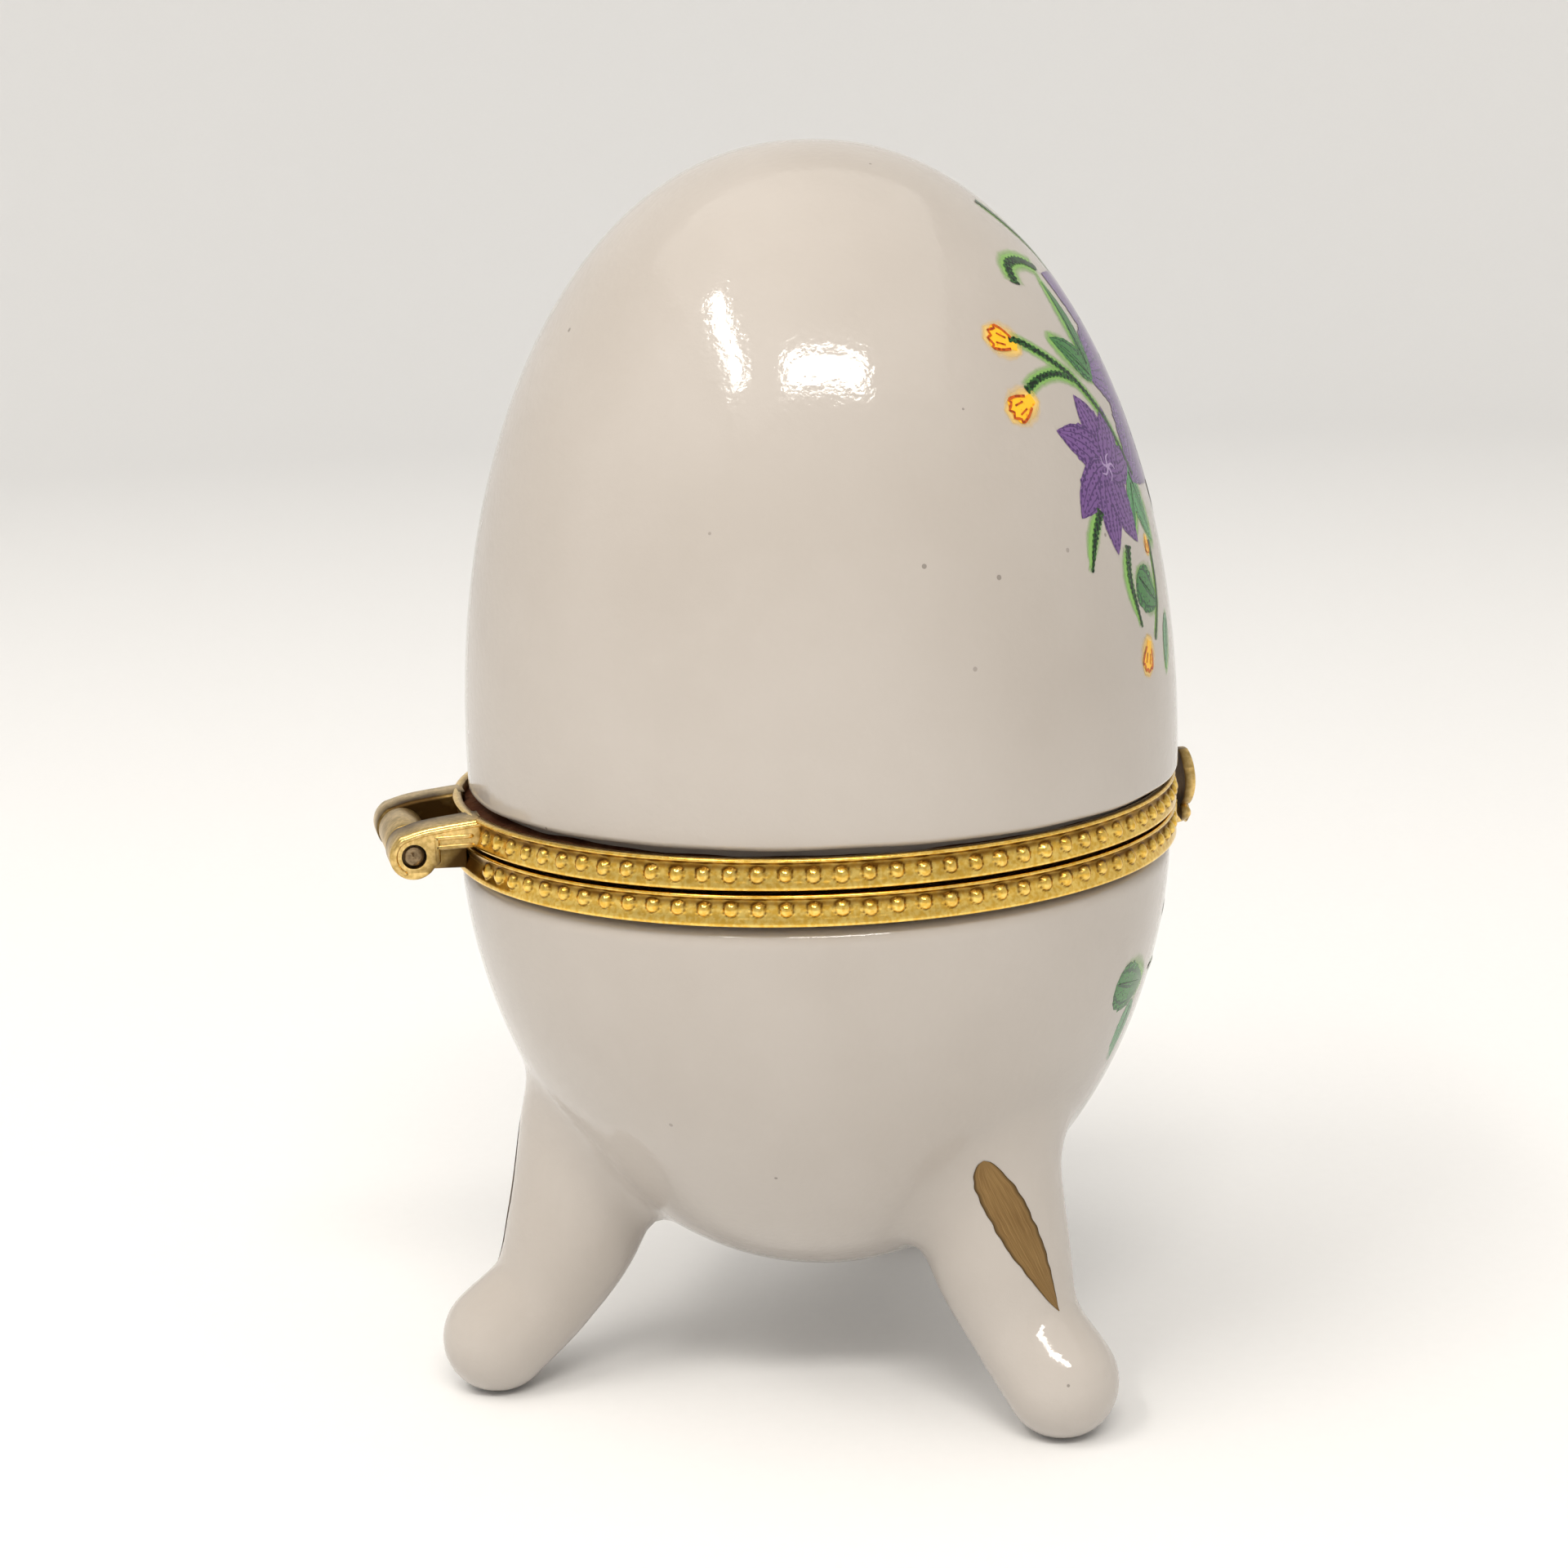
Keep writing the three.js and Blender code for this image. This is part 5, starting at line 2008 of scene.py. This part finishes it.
    def sepal(self, spot: Point, line: Sequence[Point]) -> None:
        """Lays a curved green sepal with a dark dotted core.

        Args:
            spot: angle and height of the anchor.
            line: across and up offsets of the sepal's points from the anchor.
        """

        def core(share: np.ndarray) -> np.ndarray:
            """Half width of the core, which thins towards its tip."""
            return 0.42 * np.clip(1 - share, 0.12, 1) ** 0.5

        def halo(share: np.ndarray) -> np.ndarray:
            """Half width of the halo, widest near the root."""
            return np.sin(math.pi * np.clip(share + 0.12, 0.05, 0.97)) ** 0.5

        shifted = [(x + 0.25, y) for x, y in line]
        self.strip(Tint.HALO, spot, shifted, halo, self.halo_lift, 9)
        self.strip(Tint.STEM, spot, line, core, self.stem_lift, 5, 0.44)

    def build(self) -> None:
        """Makes one object for each ink."""
        for tint, shapes in self.shapes.items():
            surface = joined(shapes)
            piece = surface.object(f"{self.name}_{tint.value}", self.inks[tint], 180)
            place(piece, self.body, Slot.PORCELAIN)


def print_lid(transfer: Transfer) -> None:
    """Lays the lid's spray: a large flower at the front, a star flower at each side, buds and leaves.

    Args:
        transfer: the lid's transfer.
    """
    big = [(8.4, 11.4), (13.2, 3.0), (12.6, -6.2), (2.0, -11.5), (-7.5, -8.5), (-10.5, 0.5), (-4.6, 9.6)]
    transfer.star((7.5, 80.5), big, 5.2, Tint.LILAC)
    inner = [(4.2, -3.0), (4.0, 1.8), (0.8, 4.4), (-3.4, 2.8), (-3.6, -2.2), (0.4, -4.4)]
    transfer.star((7.5, 80.5), inner, 1.3, Tint.PURPLE)
    left = [(1.6, 5.9), (5.4, 3.4), (5.4, -3.4), (1.5, -6.7), (-2.4, -6.2), (-4.6, 0.6), (-2.2, 4.6)]
    transfer.star((44.2, 76.2), left, 1.75, Tint.PURPLE)
    right = [(-1.2, 5.4), (-4.8, 3.0), (-5.0, -3.0), (-1.2, -6.0), (2.6, -5.6), (4.4, 1.0)]
    transfer.star((-38.0, 74.5), right, 1.75, Tint.PURPLE)
    long_stem = [(6.3, 4.1), (5.0, 3.6), (2.6, 2.0), (0.4, 0.2), (-2.4, -3.2), (-5.0, -8.0)]
    transfer.stem((44.5, 82.6), long_stem, 0.2)
    transfer.stem((44.5, 82.6), [(6.9, -0.1), (5.0, 0.7), (2.6, 0.9), (0.2, 0.1)], 0.22)
    transfer.bud((60.2, 85.8), 64.0, 1.12)
    transfer.bud((61.0, 81.8), 112.0, 1.12)
    transfer.leaf((36.8, 83.0), (0.1, 8.0), 0.85)
    transfer.leaf((37.0, 82.6), (4.2, 3.8), 1.25)
    transfer.stem((34.0, 91.2), [(5.4, -1.4), (4.6, 0.3), (2.4, 0.6), (0.0, -0.3)], 0.32)
    transfer.stem((19.0, 92.2), [(3.4, 5.6), (2.2, 2.6), (0.6, 0.2), (-1.0, -3.4)], 0.24)
    transfer.sepal((50.2, 73.2), [(0.0, 0.0), (1.4, -1.8), (2.6, -4.4)])
    transfer.sepal((43.6, 70.2), [(0.0, 0.0), (0.6, -2.6), (-0.4, -6.4)])
    transfer.leaf((42.0, 67.9), (-3.6, -2.8), 1.85)
    transfer.leaf((36.0, 76.0), (-2.2, -6.4), 1.3, Tint.PALE_LEAF)
    transfer.leaf((35.5, 75.0), (2.0, -4.4), 0.8, Tint.PALE_LEAF)
    transfer.bud((35.0, 70.2), 175.0, 0.55)
    transfer.stem((33.0, 70.0), [(0.2, 0.0), (0.6, -4.0), (2.4, -7.6)], 0.14)
    transfer.bud((41.0, 62.4), 160.0, 1.0)
    transfer.leaf((30.0, 64.0), (1.6, -4.2), 0.8, Tint.PALE_LEAF)
    transfer.leaf((-8.0, 68.5), (-3.0, -7.0), 1.8)
    transfer.leaf((6.0, 67.5), (3.6, -6.6), 1.7)
    transfer.stem((-2.0, 69.0), [(0.0, 0.0), (0.6, -4.5), (-0.4, -9.0)], 0.2)
    transfer.bud((-2.8, 59.6), 185.0, 1.0)
    transfer.leaf((-30.0, 82.0), (-2.0, 6.8), 1.1)
    transfer.leaf((-33.0, 70.0), (-4.0, -3.4), 1.2)
    transfer.stem((-36.0, 81.0), [(0.0, 0.0), (-3.6, 1.6), (-6.6, 2.2)], 0.2)
    transfer.bud((-51.5, 83.0), 288.0, 0.9)
    transfer.sepal((-40.0, 69.0), [(0.0, 0.0), (-0.8, -2.4), (-0.2, -5.0)])


def print_bowl(transfer: Transfer) -> None:
    """Lays the bowl's smaller spray below the clasp.

    Args:
        transfer: the bowl's transfer.
    """
    small = [(0.6, 4.4), (4.1, 1.6), (3.2, -3.4), (-1.4, -4.4), (-4.3, -0.8)]
    transfer.star((4.0, 33.0), small, 1.35, Tint.PURPLE)
    side = [(0.4, 3.6), (-3.4, 1.2), (-2.2, -3.0), (2.4, -2.6), (3.2, 1.4)]
    transfer.star((-24.0, 36.0), side, 1.1, Tint.LILAC)
    transfer.leaf((47.5, 35.9), (-6.0, -1.2), 2.1)
    transfer.leaf((37.5, 33.4), (0.8, -6.2), 1.25, Tint.PALE_LEAF)
    transfer.stem((30.0, 35.0), [(0.0, 0.0), (-5.0, -0.6), (-10.0, -1.6)], 0.18)
    transfer.leaf((14.0, 37.2), (4.4, 2.0), 1.1)
    transfer.leaf((-8.0, 29.0), (-4.0, -3.0), 1.3)
    transfer.stem((-10.0, 33.0), [(0.0, 0.0), (-4.0, 1.0), (-6.6, 2.4)], 0.16)
    transfer.bud((10.0, 24.8), 190.0, 0.8)
    transfer.stem((6.0, 29.4), [(0.0, 0.0), (0.8, -2.6), (1.6, -4.6)], 0.14)
    transfer.bud((-38.0, 37.5), 270.0, 0.75)


# ---- studio -------------------------------------------------------------------------------------------


@dataclass
class Studio:
    """Floor, lights and camera.

    Attributes:
        layout: places read from the frame.
        finishes: the materials.
    """

    layout: Layout
    finishes: Finishes
    turn: float = -103.5
    tilt: float = 12.85
    roll: float = -1.88
    distance: float = 236.0
    lens: float = 65.44
    shift: Point = (-0.0194, 0.0116)
    light_distance: float = 1.0
    warmth: Rgb = (1.0, 0.95, 0.88)
    sky: Rgb = (1.0, 0.975, 0.94)
    sky_strength: float = 0.31

    def _direction(self, turn: float, tilt: float) -> Vector:
        """The unit direction at a turn round the box and a tilt above the level."""
        a, e = math.radians(turn), math.radians(tilt)
        return Vector((math.sin(a) * math.cos(e), -math.cos(a) * math.cos(e), math.sin(e)))

    def _target(self) -> Vector:
        """The point that the camera and the lights face."""
        return Vector((0, self.layout.axis_y, self.layout.seam)) * MM

    def _aimed(self, back: Vector, distance: float, spin: float) -> Matrix:
        """The place of something that faces the target.

        Args:
            back: unit direction from the target to it.
            distance: how far away it is, in metres.
            spin: its turn about its own axis, in degrees.

        Returns:
            Its world matrix.
        """
        turned = Matrix.Rotation(math.radians(spin), 4, "Z")
        facing = back.to_track_quat("Z", "Y").to_matrix().to_4x4() @ turned
        return Matrix.Translation(self._target() + back * distance) @ facing

    def _camera(self) -> None:
        """Places the camera."""
        data = bpy.data.cameras.new("camera")
        data.lens, data.sensor_width = self.lens, 36.0
        data.shift_x, data.shift_y = self.shift
        data.clip_start = 0.01
        camera = bpy.data.objects.new("camera", data)
        back = self._direction(self.turn, self.tilt)
        camera.matrix_world = self._aimed(back, self.distance * MM, self.roll)
        bpy.context.scene.collection.objects.link(camera)
        bpy.context.scene.camera = camera

    def _panel(
        self, name: str, turn: float, tilt: float, size: Point, watts: float, spin: float = 0.0
    ) -> bpy.types.Object:
        """Adds a soft panel light.

        Args:
            name: the light's name.
            turn: its direction round the box, in degrees.
            tilt: its height above the level, in degrees.
            size: its width and height, in metres.
            watts: its power.
            spin: its turn about its own axis, in degrees.

        Returns:
            The light.
        """
        data = bpy.data.lights.new(name, "AREA")
        data.shape, data.size, data.size_y = "RECTANGLE", *size
        data.energy = watts
        data.color = self.warmth
        light = bpy.data.objects.new(name, data)
        light.matrix_world = self._aimed(self._direction(turn, tilt), self.light_distance, spin)
        bpy.context.scene.collection.objects.link(light)
        return light

    def _floor(self) -> None:
        """Lays the floor and its curved backdrop."""
        flat, bend, top, steps = 0.8, 0.5, 2.2, 24
        profile = [(0.0, 0.0), (flat, 0.0)]
        bends = np.linspace(0, math.pi / 2, steps)[1:]
        profile += [(flat + bend * math.sin(a), bend * (1 - math.cos(a))) for a in bends]
        profile += [(flat + bend, top)]
        sweep = revolved([(r / MM, z / MM) for r, z in profile[::-1]], 96, 0.0)
        floor = sweep.object("floor", self.finishes.paper, 180)

    def build(self) -> None:
        """Sets up the studio."""
        self._camera()
        self._floor()
        self._panel("window", turn=-96.5, tilt=49.6, size=(0.46, 0.13), watts=3.8, spin=-5.0)
        self._panel("window_side", turn=-150.0, tilt=53.4, size=(0.095, 0.45), watts=2.0, spin=55.0)
        self._panel("overhead", turn=-90.0, tilt=84.0, size=(1.6, 1.6), watts=4.4)
        bounce = self._panel("ceiling_bounce", turn=-165.0, tilt=58.0, size=(1.0, 1.0), watts=3.8)
        bounce.visible_glossy = False
        bpy.context.scene.view_settings.view_transform = "Standard"
        world = bpy.data.worlds.new("studio")
        bpy.context.scene.world = world
        world.use_nodes = True
        background = world.node_tree.nodes["Background"].inputs
        background["Color"].default_value = rgba(self.sky)
        background["Strength"].default_value = self.sky_strength


# ---- assembly -----------------------------------------------------------------------------------------


def main() -> None:
    """Builds every piece of the box and the studio round it."""
    logging.basicConfig(level=logging.INFO, format="%(name)s: %(message)s")
    layout = Layout.read()
    LOG.info("layout %s", layout)
    finishes = Finishes()
    base, lid = BaseCasting(layout, finishes), LidCasting(layout, finishes)
    base.build()
    lid.build()
    BezelCasting(
        layout,
        finishes,
        name="lid_beaded_bezel",
        node="lid_bezel",
        body=Body.LID,
        top=2.55,
        bottom=0.15,
        bead_height=1.3,
        flange_up=False,
        clear_front=3.0,
    ).build()
    BezelCasting(
        layout,
        finishes,
        name="base_beaded_bezel",
        node="base_bezel",
        body=Body.BASE,
        top=-0.15,
        bottom=-2.6,
        bead_height=-1.3,
        flange_up=True,
        clear_front=6.0,
    ).build()
    Hinge(layout, finishes).build()
    Clasp(layout, finishes).build()
    CementRings(layout, finishes).build()
    on_lid = Transfer(Skin(lid.outside()), finishes.inks, Body.LID, "lid_flowers")
    print_lid(on_lid)
    on_lid.build()
    on_bowl = Transfer(Skin(base.outside()), finishes.inks, Body.BASE, "bowl_flowers")
    print_bowl(on_bowl)
    on_bowl.build()
    Studio(layout, finishes).build()


if __name__ == "__main__":
    main()
